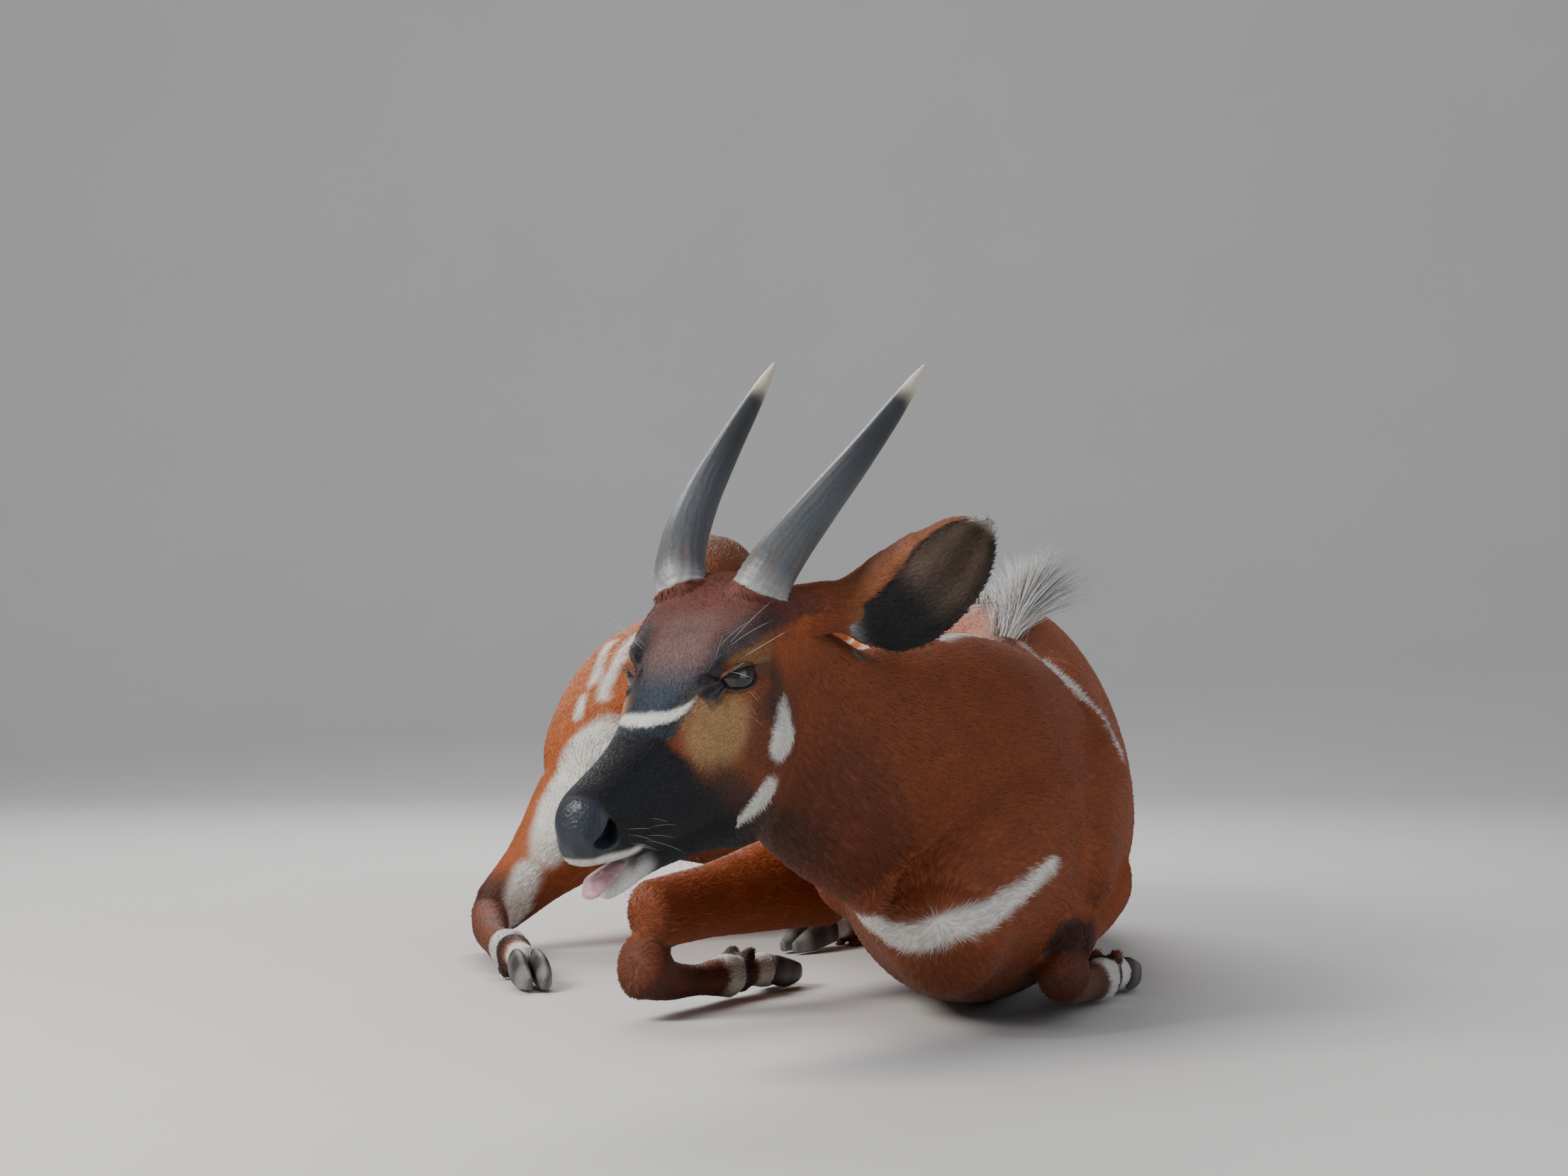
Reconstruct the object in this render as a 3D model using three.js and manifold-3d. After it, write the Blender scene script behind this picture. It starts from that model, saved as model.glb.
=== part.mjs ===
// A life-size bongo antelope, lying on its left hip with its head turned to its right.
// Millimetres. As seen from in front of the animal X is to the right, Y is away and Z is up from the ground.

import * as THREE from "three";
import { mergeVertices } from "three/addons/utils/BufferGeometryUtils.js";
import Module from "manifold-3d";

const wasm = await Module();
wasm.setup();

// Driving sizes

const GAP = 0.3; // between two pieces that touch
const GROUND_CLEARANCE = 0.02; // the flats that rest on the ground lie this far above Z 0
const REACH = 3000; // longer than anything here

const HEAD_AT = new THREE.Vector3(-42, -517, 390); // the top of the nasal bridge's line, over the neck
const HEAD_TURN = 29; // degrees to its right
const HEAD_NOD = 26; // degrees, nose down

const EYE_RADIUS = 18;
const EYE_AT = new THREE.Vector3(96, 44.5, 3);
const EYE_LOOKS = new THREE.Vector3(0.34, 0.93, 0.1).normalize();
const LID_THICKNESS = 2.6;
const LID_OPENING = { long: 42, above: 11.5, below: 9, tilt: 12 };

const EAR_THICKNESS = 4.2;
const EAR_LOBE = 26; // how far the lower edge of an ear hangs past its curl
const HORN_BASE_RADIUS = 26.5;

const TRUNK_CUTS = [40, 440]; // Y of the two cuts that part the trunk

// Materials

function material(colour, roughness, metalness = 0) {
  return new THREE.MeshStandardMaterial({ color: colour, roughness, metalness });
}

const COAT = material(0xa4531f, 0.85);
const DARK_COAT = material(0x3a2a22, 0.85);
const HORN = material(0x5b6068, 0.45);
const HOOF = material(0x2a2522, 0.5);
const EYE = material(0x14100e, 0.1);
const TONGUE = material(0xc98a8c, 0.5);

// Joining and cutting

const radians = THREE.MathUtils.degToRad;

function vector(numbers) {
  return new THREE.Vector3(...numbers);
}

function solidOf(geometry) {
  const bare = geometry.index ? geometry.toNonIndexed() : geometry.clone();
  bare.deleteAttribute("normal");
  bare.deleteAttribute("uv");
  const merged = mergeVertices(bare, 1e-4);
  const corners = new Uint32Array(merged.index.array);
  const mesh = new wasm.Mesh({
    numProp: 3,
    vertProperties: merged.getAttribute("position").array,
    triVerts: corners,
  });
  const solid = new wasm.Manifold(mesh);
  if (solid.volume() > 0) return solid;
  for (let i = 0; i < corners.length; i += 3) {
    [corners[i + 1], corners[i + 2]] = [corners[i + 2], corners[i + 1]];
  }
  return new wasm.Manifold(mesh);
}

function geometryOf(solid) {
  const mesh = solid.getMesh();
  const geometry = new THREE.BufferGeometry();
  geometry.setAttribute("position", new THREE.BufferAttribute(mesh.vertProperties, 3));
  geometry.setIndex(new THREE.BufferAttribute(mesh.triVerts, 1));
  geometry.computeVertexNormals();
  return geometry;
}

function joined(...solids) {
  return solids.reduce((whole, next) => whole.add(next));
}

function cut(solid, ...tools) {
  return tools.reduce((left, tool) => left.subtract(tool), solid);
}

// The largest closed surface of a solid, which fills sealed hollows and drops loose scraps.
function largest(solid) {
  return solid.decompose().reduce((best, next) => (next.volume() > best.volume() ? next : best));
}

function box(low, high) {
  const from = vector(low);
  const size = vector(high).sub(from);
  const geometry = new THREE.BoxGeometry(size.x, size.y, size.z);
  geometry.translate(from.x + size.x / 2, from.y + size.y / 2, from.z + size.z / 2);
  return solidOf(geometry);
}

function ellipsoid(at, radii, grow = 0, detail = 18) {
  const geometry = new THREE.SphereGeometry(1, detail, Math.round(detail / 2));
  geometry.scale(...radii.map((radius) => radius + grow));
  geometry.translate(...at);
  return solidOf(geometry);
}

const GROUND = box([-REACH, -REACH, -REACH], [REACH, REACH, GROUND_CLEARANCE]);

// Skins through rings of points

function skin(rings, first, last) {
  const sides = rings[0].length;
  const points = [first, ...rings.flat(), last];
  const end = points.length - 1;
  const corners = [];
  for (let side = 0; side < sides; side++) {
    const next = (side + 1) % sides;
    corners.push(0, 1 + next, 1 + side);
    for (let ring = 0; ring + 1 < rings.length; ring++) {
      const near = 1 + ring * sides;
      const far = near + sides;
      corners.push(near + side, near + next, far + next);
      corners.push(near + side, far + next, far + side);
    }
    corners.push(end, end - sides + side, end - sides + next);
  }
  const geometry = new THREE.BufferGeometry();
  geometry.setAttribute("position", new THREE.Float32BufferAttribute(points.flatMap((p) => p.toArray()), 3));
  geometry.setIndex(corners);
  return solidOf(geometry);
}

function curveOf(stations, read) {
  return new THREE.CatmullRomCurve3(stations.map((station) => vector(read(station))));
}

// The frame of a form at a share of its way: its centre, its directions and its half sizes there.
function formFrame(stations, share) {
  const centre = curveOf(stations, (s) => s.at).getPoint(share);
  const along = curveOf(stations, (s) => s.at).getTangent(share);
  const roughTop = curveOf(stations, (s) => s.top ?? [0, 0, 1]).getPoint(share);
  const side = new THREE.Vector3().crossVectors(along, roughTop).normalize();
  const top = new THREE.Vector3().crossVectors(side, along).normalize();
  const size = curveOf(stations, (s) => [s.wide, s.high, s.deep ?? s.high]).getPoint(share);
  const bend = curveOf(stations, (s) => [s.crown ?? 2, s.keel ?? 2, 0]).getPoint(share);
  return { centre, along, side, top, wide: size.x, high: size.y, deep: size.z, crown: bend.x, keel: bend.y };
}

// The point of a form's surface at a share of its way and an angle from its right side over its top.
function formPoint(frame, angle, grow = 0, shrink = 1) {
  const c = Math.cos(angle);
  const s = Math.sin(angle);
  const power = 2 / (s >= 0 ? frame.crown : frame.keel);
  const out = (frame.wide * shrink + grow) * Math.sign(c) * Math.abs(c) ** power;
  const high = (s >= 0 ? frame.high : frame.deep) * shrink + grow;
  const up = high * Math.sign(s) * Math.abs(s) ** power;
  return frame.centre.clone().addScaledVector(frame.side, out).addScaledVector(frame.top, up);
}

// A rounded form through stations, each with its centre, half width, height over and depth under that centre.
function form(stations, { sides = 14, steps = 2, round = 0.5, caps = [48], grow = 0 } = {}) {
  const spans = (stations.length - 1) * steps;
  const rings = [];
  const ringOf = (frame, shrink, shift) =>
    Array.from({ length: sides }, (_, i) => {
      const point = formPoint(frame, (i / sides) * Math.PI * 2, grow * shrink, shrink);
      return point.addScaledVector(frame.along, shift);
    });
  const first = formFrame(stations, 0);
  const last = formFrame(stations, 1);
  const startCap = round * first.wide + grow;
  const endCap = round * last.wide + grow;
  for (const degrees of caps) {
    rings.push(ringOf(first, Math.cos(radians(degrees)), -startCap * Math.sin(radians(degrees))));
  }
  for (let i = 0; i <= spans; i++) rings.push(ringOf(formFrame(stations, i / spans), 1, 0));
  for (const degrees of caps.toReversed()) {
    rings.push(ringOf(last, Math.cos(radians(degrees)), endCap * Math.sin(radians(degrees))));
  }
  const start = first.centre.clone().addScaledVector(first.along, -startCap);
  const end = last.centre.clone().addScaledVector(last.along, endCap);
  return skin(rings, start, end);
}

// Even random numbers from 0 to 1, the same each time.
function seeded(seed) {
  let state = seed;
  return () => {
    state = (state * 1664525 + 1013904223) % 4294967296;
    return state / 4294967296;
  };
}

// One flat, tapered lock of hair. It leaves its root along a direction and bends over towards its lie.
const LOCK_SECTIONS = [
  { share: 0.3, wide: 1, thick: 1 },
  { share: 0.66, wide: 0.96, thick: 0.8 },
  { share: 0.98, wide: 0.34, thick: 0.4 },
];

function lock({ root, rises, lie, faces, length, wide, thick, bend, sunk }) {
  const stations = [{ share: -sunk / length, wide: 0.8, thick: 1 }, ...LOCK_SECTIONS].map((section) => {
    const over = Math.max(0, section.share) ** 2 * bend;
    const at = root
      .clone()
      .addScaledVector(rises, length * (section.share - over * 0.5))
      .addScaledVector(lie, length * over);
    return { at: at.toArray(), wide: wide * section.wide, high: thick * section.thick, top: faces.toArray() };
  });
  return form(stations, { sides: 4, steps: 1, round: 0.3, caps: [] });
}

// Trunk: from the brisket back to the tail, its back bending to its right

const TRUNK = [
  { at: [150, -452, 104], wide: 62, high: 58, deep: 74 },
  { at: [160, -390, 138], wide: 98, high: 104, deep: 118 },
  { at: [176, -300, 160], wide: 130, high: 164, deep: 150 },
  { at: [194, -190, 170], wide: 146, high: 196, deep: 168, crown: 1.8, top: [0.08, 0, 1] },
  { at: [210, -70, 170], wide: 152, high: 210, deep: 172, crown: 1.65, top: [0.12, 0, 1] },
  { at: [226, 60, 168], wide: 158, high: 242, deep: 172, crown: 1.6, top: [0.14, 0, 1] },
  { at: [236, 200, 168], wide: 168, high: 250, deep: 172, crown: 1.7, top: [0.12, 0, 1] },
  { at: [232, 360, 172], wide: 177, high: 242, deep: 176, crown: 1.8, top: [0.1, 0, 1] },
  { at: [212, 510, 178], wide: 179, high: 236, deep: 180, crown: 1.9, top: [0.06, 0, 1] },
  { at: [176, 640, 192], wide: 170, high: 230, deep: 184, crown: 1.9 },
  { at: [138, 735, 210], wide: 142, high: 184, deep: 160, crown: 1.9 },
  { at: [108, 795, 220], wide: 92, high: 118, deep: 96 },
];

const SHOULDERS = {
  left: [
    { at: [272, -60, 300], wide: 58, high: 66, deep: 70 },
    { at: [292, -170, 226], wide: 66, high: 80, deep: 80 },
    { at: [272, -292, 156], wide: 62, high: 70, deep: 70 },
  ],
  right: [
    { at: [146, -60, 296], wide: 58, high: 66, deep: 70 },
    { at: [92, -170, 224], wide: 66, high: 80, deep: 80 },
    { at: [84, -292, 156], wide: 62, high: 70, deep: 70 },
  ],
};

function trunk(grow = 0) {
  const body = form(TRUNK, { sides: 24, round: 0.6, caps: [62, 30], grow });
  const left = form(SHOULDERS.left, { sides: 10, round: 0.7, grow });
  const right = form(SHOULDERS.right, { sides: 10, round: 0.7, grow });
  return joined(body, left, right);
}

// Neck: from behind the jaw down into the shoulders

const NECK = [
  { at: [-24, -488, 346], wide: 54, high: 80, deep: 84, top: [-0.206, -0.387, 0.899] },
  { at: [32, -446, 282], wide: 70, high: 106, deep: 112, top: [-0.1, -0.1, 1] },
  { at: [98, -388, 248], wide: 90, high: 134, deep: 136, top: [0, 0, 1] },
  { at: [158, -296, 238], wide: 116, high: 150, deep: 160, top: [0.06, 0, 1] },
  { at: [196, -180, 232], wide: 130, high: 146, deep: 150, top: [0.1, 0, 1] },
];

function neck(grow = 0) {
  return form(NECK, { sides: 20, round: 0.4, grow });
}

// Legs: each bone's flesh as one form, folded as the animal lies

const LEGS = {
  foreleg_right: {
    forearm: [
      { at: [40, -96, 128], wide: 48, high: 60, deep: 56 },
      { at: [-20, -172, 120], wide: 42, high: 50, deep: 46 },
      { at: [-84, -244, 112], wide: 33, high: 38, deep: 38 },
      { at: [-130, -294, 104], wide: 33, high: 38, deep: 36 },
    ],
    cannon: [
      { at: [-140, -300, 60], wide: 29, high: 34, deep: 42 },
      { at: [-122, -254, 38], wide: 21, high: 22, deep: 26 },
      { at: [-90, -196, 28], wide: 17, high: 18, deep: 18 },
      { at: [-58, -140, 27], wide: 22, high: 24, deep: 26 },
    ],
    pastern: [
      { at: [-51, -127, 27], wide: 21, high: 23, deep: 24 },
      { at: [-35, -98, 26], wide: 17, high: 18, deep: 18 },
      { at: [-22, -74, 25], wide: 20, high: 20, deep: 22 },
    ],
    hoof: { from: [-19, -68, 25], to: [8, -12, 12], sole: "up" },
  },
  foreleg_left: {
    forearm: [
      { at: [322, -90, 122], wide: 48, high: 58, deep: 54 },
      { at: [306, -190, 108], wide: 40, high: 44, deep: 42 },
      { at: [288, -276, 94], wide: 31, high: 34, deep: 33 },
      { at: [272, -344, 83], wide: 32, high: 33, deep: 33 },
    ],
    cannon: [
      { at: [272, -360, 54], wide: 28, high: 31, deep: 30 },
      { at: [284, -308, 36], wide: 21, high: 20, deep: 20 },
      { at: [304, -236, 28], wide: 17, high: 18, deep: 18 },
      { at: [328, -170, 27], wide: 22, high: 24, deep: 26 },
    ],
    pastern: [
      { at: [332, -156, 27], wide: 21, high: 23, deep: 24 },
      { at: [341, -126, 26], wide: 17, high: 18, deep: 18 },
      { at: [350, -100, 25], wide: 20, high: 20, deep: 22 },
    ],
    hoof: { from: [352, -93, 25], to: [368, -32, 12], sole: "up" },
  },
  hindleg_right: {
    thigh: [
      { at: [48, 716, 236], wide: 130, high: 154, deep: 172 },
      { at: [-60, 622, 258], wide: 154, high: 164, deep: 190, crown: 2.3 },
      { at: [-156, 506, 244], wide: 136, high: 140, deep: 158, crown: 2.2 },
      { at: [-212, 416, 220], wide: 90, high: 94, deep: 102 },
      { at: [-226, 358, 204], wide: 56, high: 62, deep: 68 },
    ],
    shank: [
      { at: [-204, 404, 188], wide: 78, high: 92, deep: 84 },
      { at: [-250, 378, 140], wide: 62, high: 72, deep: 66 },
      { at: [-300, 338, 90], wide: 40, high: 44, deep: 44 },
      { at: [-338, 306, 54], wide: 30, high: 33, deep: 36 },
    ],
    cannon: [
      { at: [-344, 306, 45], wide: 27, high: 31, deep: 34 },
      { at: [-342, 246, 35], wide: 22, high: 24, deep: 24 },
      { at: [-326, 150, 30], wide: 18, high: 19, deep: 19 },
      { at: [-302, 62, 30], wide: 23, high: 25, deep: 28 },
    ],
    pastern: [
      { at: [-298, 48, 30], wide: 22, high: 23, deep: 26 },
      { at: [-288, 14, 28], wide: 17, high: 18, deep: 18 },
      { at: [-280, -12, 25], wide: 20, high: 20, deep: 20 },
    ],
    hoof: { from: [-278, -19, 23], to: [-262, -84, 12], sole: "down" },
  },
  hindleg_left: {
    thigh: [
      { at: [206, 706, 172], wide: 116, high: 128, deep: 168 },
      { at: [286, 600, 150], wide: 104, high: 112, deep: 150 },
      { at: [332, 490, 118], wide: 78, high: 84, deep: 118 },
      { at: [344, 410, 94], wide: 58, high: 60, deep: 94 },
    ],
    shank: [
      { at: [336, 424, 66], wide: 58, high: 56, deep: 66 },
      { at: [300, 500, 56], wide: 46, high: 42, deep: 52 },
      { at: [262, 566, 44], wide: 32, high: 30, deep: 36 },
      { at: [232, 612, 38], wide: 28, high: 28, deep: 30 },
    ],
    cannon: [
      { at: [228, 620, 36], wide: 26, high: 26, deep: 30 },
      { at: [194, 566, 30], wide: 21, high: 22, deep: 22 },
      { at: [142, 478, 27], wide: 18, high: 18, deep: 19 },
      { at: [92, 396, 27], wide: 22, high: 24, deep: 27 },
    ],
    pastern: [
      { at: [84, 384, 27], wide: 21, high: 23, deep: 25 },
      { at: [64, 356, 26], wide: 17, high: 18, deep: 18 },
      { at: [48, 334, 24], wide: 20, high: 20, deep: 20 },
    ],
    hoof: { from: [44, 328, 23], to: [6, 276, 12], sole: "down" },
  },
};

const LEG_MESH = {
  thigh: { sides: 14, steps: 2, caps: [62, 30] },
  shank: { sides: 12, steps: 2 },
  forearm: { sides: 12, steps: 1 },
  cannon: { sides: 10, steps: 1 },
  pastern: { sides: 8, steps: 1 },
};

function legForm(leg, part, grow = 0) {
  return form(LEGS[leg][part], { ...LEG_MESH[part], round: 0.6, grow });
}

// Dewclaws: two blunt cones behind each fetlock.
function dewclaws(leg) {
  const { pastern, hoof } = LEGS[leg];
  const fetlock = formFrame(pastern, 0);
  const back = hoof.sole === "up" ? 1 : -1;
  const claws = [-1, 1].map((turn) => {
    const root = fetlock.centre
      .clone()
      .addScaledVector(fetlock.side, turn * 11)
      .addScaledVector(fetlock.top, back * fetlock.high * 0.55);
    const tip = root.clone().addScaledVector(fetlock.along, 17).addScaledVector(fetlock.top, back * 13);
    const stations = [
      { at: root.toArray(), wide: 7.5, high: 7.5 },
      { at: root.clone().lerp(tip, 0.6).toArray(), wide: 6.5, high: 6.5 },
      { at: tip.toArray(), wide: 3.5, high: 3.5 },
    ];
    return form(stations, { sides: 5, steps: 1, caps: [] });
  });
  return joined(...claws);
}

// One claw of a cloven hoof, flat underneath and pointed in front.
function claw(leg, turn, grow = 0) {
  const { from, to, sole } = LEGS[leg].hoof;
  const start = vector(from);
  const end = vector(to);
  const along = end.clone().sub(start).normalize();
  const top = new THREE.Vector3(0, 0, sole === "up" ? -1 : 1);
  const side = new THREE.Vector3().crossVectors(along, top).normalize();
  const half = 10.5;
  const place = (share, apart, lift = 0) =>
    start.clone().lerp(end, share).addScaledVector(side, turn * apart).addScaledVector(top, lift).toArray();
  const stations = [
    { at: place(-0.1, half), wide: 9.6, high: 17, deep: 15, keel: 3, top: top.toArray() },
    { at: place(0.3, half + 0.8), wide: 10.4, high: 18, deep: 14, keel: 4, top: top.toArray() },
    { at: place(0.7, half + 0.6), wide: 9, high: 12, deep: 12, keel: 5, top: top.toArray() },
    { at: place(1, half - 2), wide: 4.5, high: 5, deep: 9, keel: 5, top: top.toArray() },
  ];
  return form(stations, { sides: 8, steps: 1, round: 0.7, grow });
}

// Tail: down the rump and along the ground, with its tuft

const TAIL = [
  { at: [112, 800, 292], wide: 21, high: 21 },
  { at: [102, 846, 250], wide: 17, high: 17 },
  { at: [98, 872, 180], wide: 14, high: 14 },
  { at: [106, 884, 98], wide: 12, high: 12 },
  { at: [136, 890, 36], wide: 11, high: 11 },
  { at: [190, 890, 16], wide: 10, high: 10 },
  { at: [240, 878, 13], wide: 9, high: 9 },
];

const TAIL_SPLIT = 4; // the station of the bend above the ground

const TAIL_TUFT = { from: 0.6, count: 11, length: [96, 138], wide: 14, thick: 5, sunk: 12, spread: 22, seed: 5 };

function tailTuft() {
  const random = seeded(TAIL_TUFT.seed);
  const locks = [];
  for (let i = 0; i < TAIL_TUFT.count; i++) {
    const order = i / (TAIL_TUFT.count - 1);
    const around = 2 * ((i * 0.618) % 1) - 1;
    const frame = formFrame(TAIL.slice(TAIL_SPLIT), TAIL_TUFT.from + (1 - TAIL_TUFT.from) * order);
    const turn = radians(TAIL_TUFT.spread * around + 6 * (random() - 0.5));
    const rises = frame.along.clone().applyAxisAngle(new THREE.Vector3(0, 0, 1), turn);
    rises.z = 0.05 * random();
    const lie = frame.side.clone().multiplyScalar(-Math.sign(around));
    const [short, long] = TAIL_TUFT.length;
    locks.push(
      lock({
        root: frame.centre.clone().addScaledVector(frame.side, 3 * around).setZ(12 + 8 * random()),
        rises: rises.normalize(),
        lie,
        faces: new THREE.Vector3(0.25 * around, 0, 1),
        length: short + (long - short) * random(),
        wide: TAIL_TUFT.wide * (0.8 + 0.3 * random()),
        thick: TAIL_TUFT.thick,
        bend: 0.22,
        sunk: TAIL_TUFT.sunk,
      }),
    );
  }
  return joined(...locks);
}

function tail(grow = 0) {
  return form(TAIL.slice(0, TAIL_SPLIT + 1), { sides: 10, grow });
}

function tailEnd() {
  return joined(form(TAIL.slice(TAIL_SPLIT), { sides: 10 }), tailTuft());
}

// Crest: locks of long hair from the withers to the tail, tallest and fanned out over the withers

const CREST = {
  from: 0.365,
  to: 0.92,
  count: 33,
  crowding: 1.3, // more than 1 sets the locks closer over the withers
  highest: 146,
  lowest: 42,
  lean: [22, 6], // degrees to the left, over the withers and at the rump
  fan: 13, // degrees that the locks over the withers spread
  wide: 19,
  thick: 6.5,
  sunk: 20,
  seed: 9,
};

function crest() {
  const random = seeded(CREST.seed);
  const locks = [];
  for (let i = 0; i < CREST.count; i++) {
    const order = (i / (CREST.count - 1)) ** CREST.crowding;
    const frame = formFrame(TRUNK, CREST.from + (CREST.to - CREST.from) * order);
    const fall = Math.exp(-5 * order);
    const side = i % 2 === 0 ? 1 : -1;
    const fan = CREST.fan * fall * ((i % 3) - 1) + side * (3 + 5 * random());
    const lean = radians(CREST.lean[1] + (CREST.lean[0] - CREST.lean[1]) * fall + fan);
    const rises = frame.top.clone().multiplyScalar(Math.cos(lean)).addScaledVector(frame.side, Math.sin(lean));
    rises.addScaledVector(frame.along, 0.12 + 0.34 * order + 0.1 * random()).normalize();
    const height = (CREST.lowest + (CREST.highest - CREST.lowest) * fall) * (0.9 + 0.2 * random());
    locks.push(
      lock({
        root: frame.centre.clone().addScaledVector(frame.top, frame.high - 4).addScaledVector(frame.side, side * 3),
        rises,
        lie: frame.along,
        faces: frame.side.clone().addScaledVector(frame.along, side * 0.12),
        length: height,
        wide: CREST.wide * (0.9 + 0.2 * random()),
        thick: CREST.thick,
        bend: 0.45,
        sunk: CREST.sunk,
      }),
    );
  }
  return joined(...locks);
}

// Head, in its own frame: X is forward along the nasal bridge, Y to its left and Z up.
// Each section gives the half outline from the crown down to the keel as [half width, height].

const HEAD_SECTIONS = [
  { forward: -62, crown: 14, brow: [32, 6], cheek: [48, -30], jowl: [40, -86], keel: -108 },
  { forward: -20, crown: 52, brow: [48, 44], cheek: [60, -18], jowl: [48, -102], keel: -148 },
  { forward: 12, crown: 58, brow: [58, 50], cheek: [63, -12], jowl: [47, -114], keel: -176 },
  { forward: 48, crown: 51, brow: [60, 42], cheek: [62, -14], jowl: [46, -120], keel: -186 },
  { forward: 82, crown: 42, brow: [60, 32], cheek: [60, -18], jowl: [44, -117], keel: -181 },
  { forward: 110, crown: 30, brow: [54, 20], cheek: [55, -24], jowl: [41, -109], keel: -167 },
  { forward: 140, crown: 17, brow: [43, 8], cheek: [49, -29], jowl: [38, -101], keel: -152 },
  { forward: 168, crown: 8, brow: [35, -2], cheek: [43, -35], jowl: [34, -95], keel: -138 },
  { forward: 205, crown: 1, brow: [28, -7], cheek: [36, -40], jowl: [30, -90], keel: -124 },
  { forward: 240, crown: 0, brow: [24, -8], cheek: [31, -40], jowl: [28, -78], keel: -106 },
  { forward: 272, crown: 0, brow: [23, -8], cheek: [30, -38], jowl: [29, -70], keel: -85 },
  { forward: 298, crown: 0, brow: [23, -9], cheek: [31, -37], jowl: [27, -64], keel: -74 },
  { forward: 316, crown: -5, brow: [21, -14], cheek: [28, -39], jowl: [21, -58], keel: -67 },
  { forward: 330, crown: -22, brow: [13, -27], cheek: [19, -42], jowl: [15, -54], keel: -60 },
];

const LOWER_JAW = [
  { at: [130, 0, -128], wide: 32, high: 24, deep: 25 },
  { at: [208, 0, -109], wide: 26, high: 21, deep: 17 },
  { at: [256, 0, -99], wide: 22, high: 15, deep: 14 },
  { at: [288, 0, -97], wide: 18, high: 11, deep: 12 },
  { at: [305, 0, -96], wide: 13, high: 7, deep: 10 },
];

const MOUTH = { corner: [268, -86], split: [248, -91], upper: [352, -63], lower: [352, -97] };

const TONGUE_FORM = [
  { at: [275, 0, -87], wide: 9, high: 2.5, deep: 3 },
  { at: [296, 1, -84], wide: 13, high: 4.5, deep: 4.5 },
  { at: [314, 2, -82], wide: 14, high: 4.5, deep: 4.5 },
  { at: [327, 2, -86], wide: 10, high: 4, deep: 4 },
];

const NOSTRIL = { at: [320, 25, -36], radii: [12, 7, 9] };

const HORN_CURVE = [
  [14, 38.5, 43],
  [0, 56, 82],
  [-124, 76, 93],
  [-312, 85.5, 137],
];

const HORN_STRETCH = { left: 1, right: 1.035 };

const PEDICEL = { height: 6, thickness: 1.6 };

function mirrored(point, side) {
  return new THREE.Vector3(point[0], point[1] * side, point[2]);
}

function hornLine(side) {
  const foot = mirrored(HORN_CURVE[0], side);
  const stretch = side > 0 ? HORN_STRETCH.left : HORN_STRETCH.right;
  const reach = (point) => mirrored(point, side).sub(foot).multiplyScalar(stretch).add(foot);
  return new THREE.CubicBezierCurve3(...HORN_CURVE.map(reach));
}

function skull(grow = 0) {
  const sides = 26;
  const steps = 2;
  const rows = HEAD_SECTIONS.map((s) => [
    [s.forward, 0, s.crown],
    [s.forward, ...s.brow],
    [s.forward, ...s.cheek],
    [s.forward, ...s.jowl],
    [s.forward, 0, s.keel],
    [s.forward, -s.jowl[0], s.jowl[1]],
    [s.forward, -s.cheek[0], s.cheek[1]],
    [s.forward, -s.brow[0], s.brow[1]],
  ]);
  const rails = rows[0].map((_, i) => new THREE.CatmullRomCurve3(rows.map((row) => vector(row[i]))));
  const spans = (rows.length - 1) * steps;
  const rings = [];
  for (let i = 0; i <= spans; i++) {
    const outline = new THREE.CatmullRomCurve3(rails.map((rail) => rail.getPoint(i / spans)), true);
    const points = outline.getPoints(sides).slice(0, sides);
    const middle = points.reduce((sum, p) => sum.add(p), new THREE.Vector3()).divideScalar(sides);
    const outward = (p) => p.clone().sub(middle).setX(0).normalize().multiplyScalar(grow);
    rings.push(points.map((p) => p.clone().add(outward(p))));
  }
  const back = new THREE.Vector3(HEAD_SECTIONS[0].forward - 14 - grow, 0, -50);
  const front = new THREE.Vector3(HEAD_SECTIONS.at(-1).forward + 6 + grow, 0, -42);
  return skin(rings, back, front);
}

// The skin that grows up round the foot of each horn.
function pedicel(side, grow = 0) {
  const curve = hornLine(side);
  const radius = HORN_BASE_RADIUS + PEDICEL.thickness;
  const along = curve.getTangent(0);
  const foot = curve.getPoint(0);
  const at = (up) => foot.clone().addScaledVector(along, up).toArray();
  const stations = [
    { at: at(-18), wide: radius, high: radius },
    { at: at(PEDICEL.height * 0.4), wide: radius, high: radius },
    { at: at(PEDICEL.height), wide: radius - 2, high: radius - 2 },
  ];
  return form(stations, { sides: 12, steps: 1, round: 0.1, caps: [], grow });
}

// The wedge between the lips, a thin line behind the corner of the mouth.
function mouthWedge(spare) {
  const { corner, split, upper, lower } = MOUTH;
  const slope = (corner[1] - split[1]) / (corner[0] - split[0]);
  const end = [split[0] - 2, split[1] - 2 * slope];
  const half = spare / 2;
  const outline = new THREE.Shape([
    new THREE.Vector2(end[0], end[1] + half),
    new THREE.Vector2(corner[0], corner[1] + half),
    new THREE.Vector2(upper[0], upper[1] + half),
    new THREE.Vector2(lower[0], lower[1] - half),
    new THREE.Vector2(corner[0], corner[1] - half),
    new THREE.Vector2(end[0], end[1] - half),
  ]);
  const geometry = new THREE.ExtrudeGeometry(outline, { depth: 160, bevelEnabled: false });
  geometry.translate(0, 0, -80);
  geometry.rotateX(Math.PI / 2);
  return solidOf(geometry);
}

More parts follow.
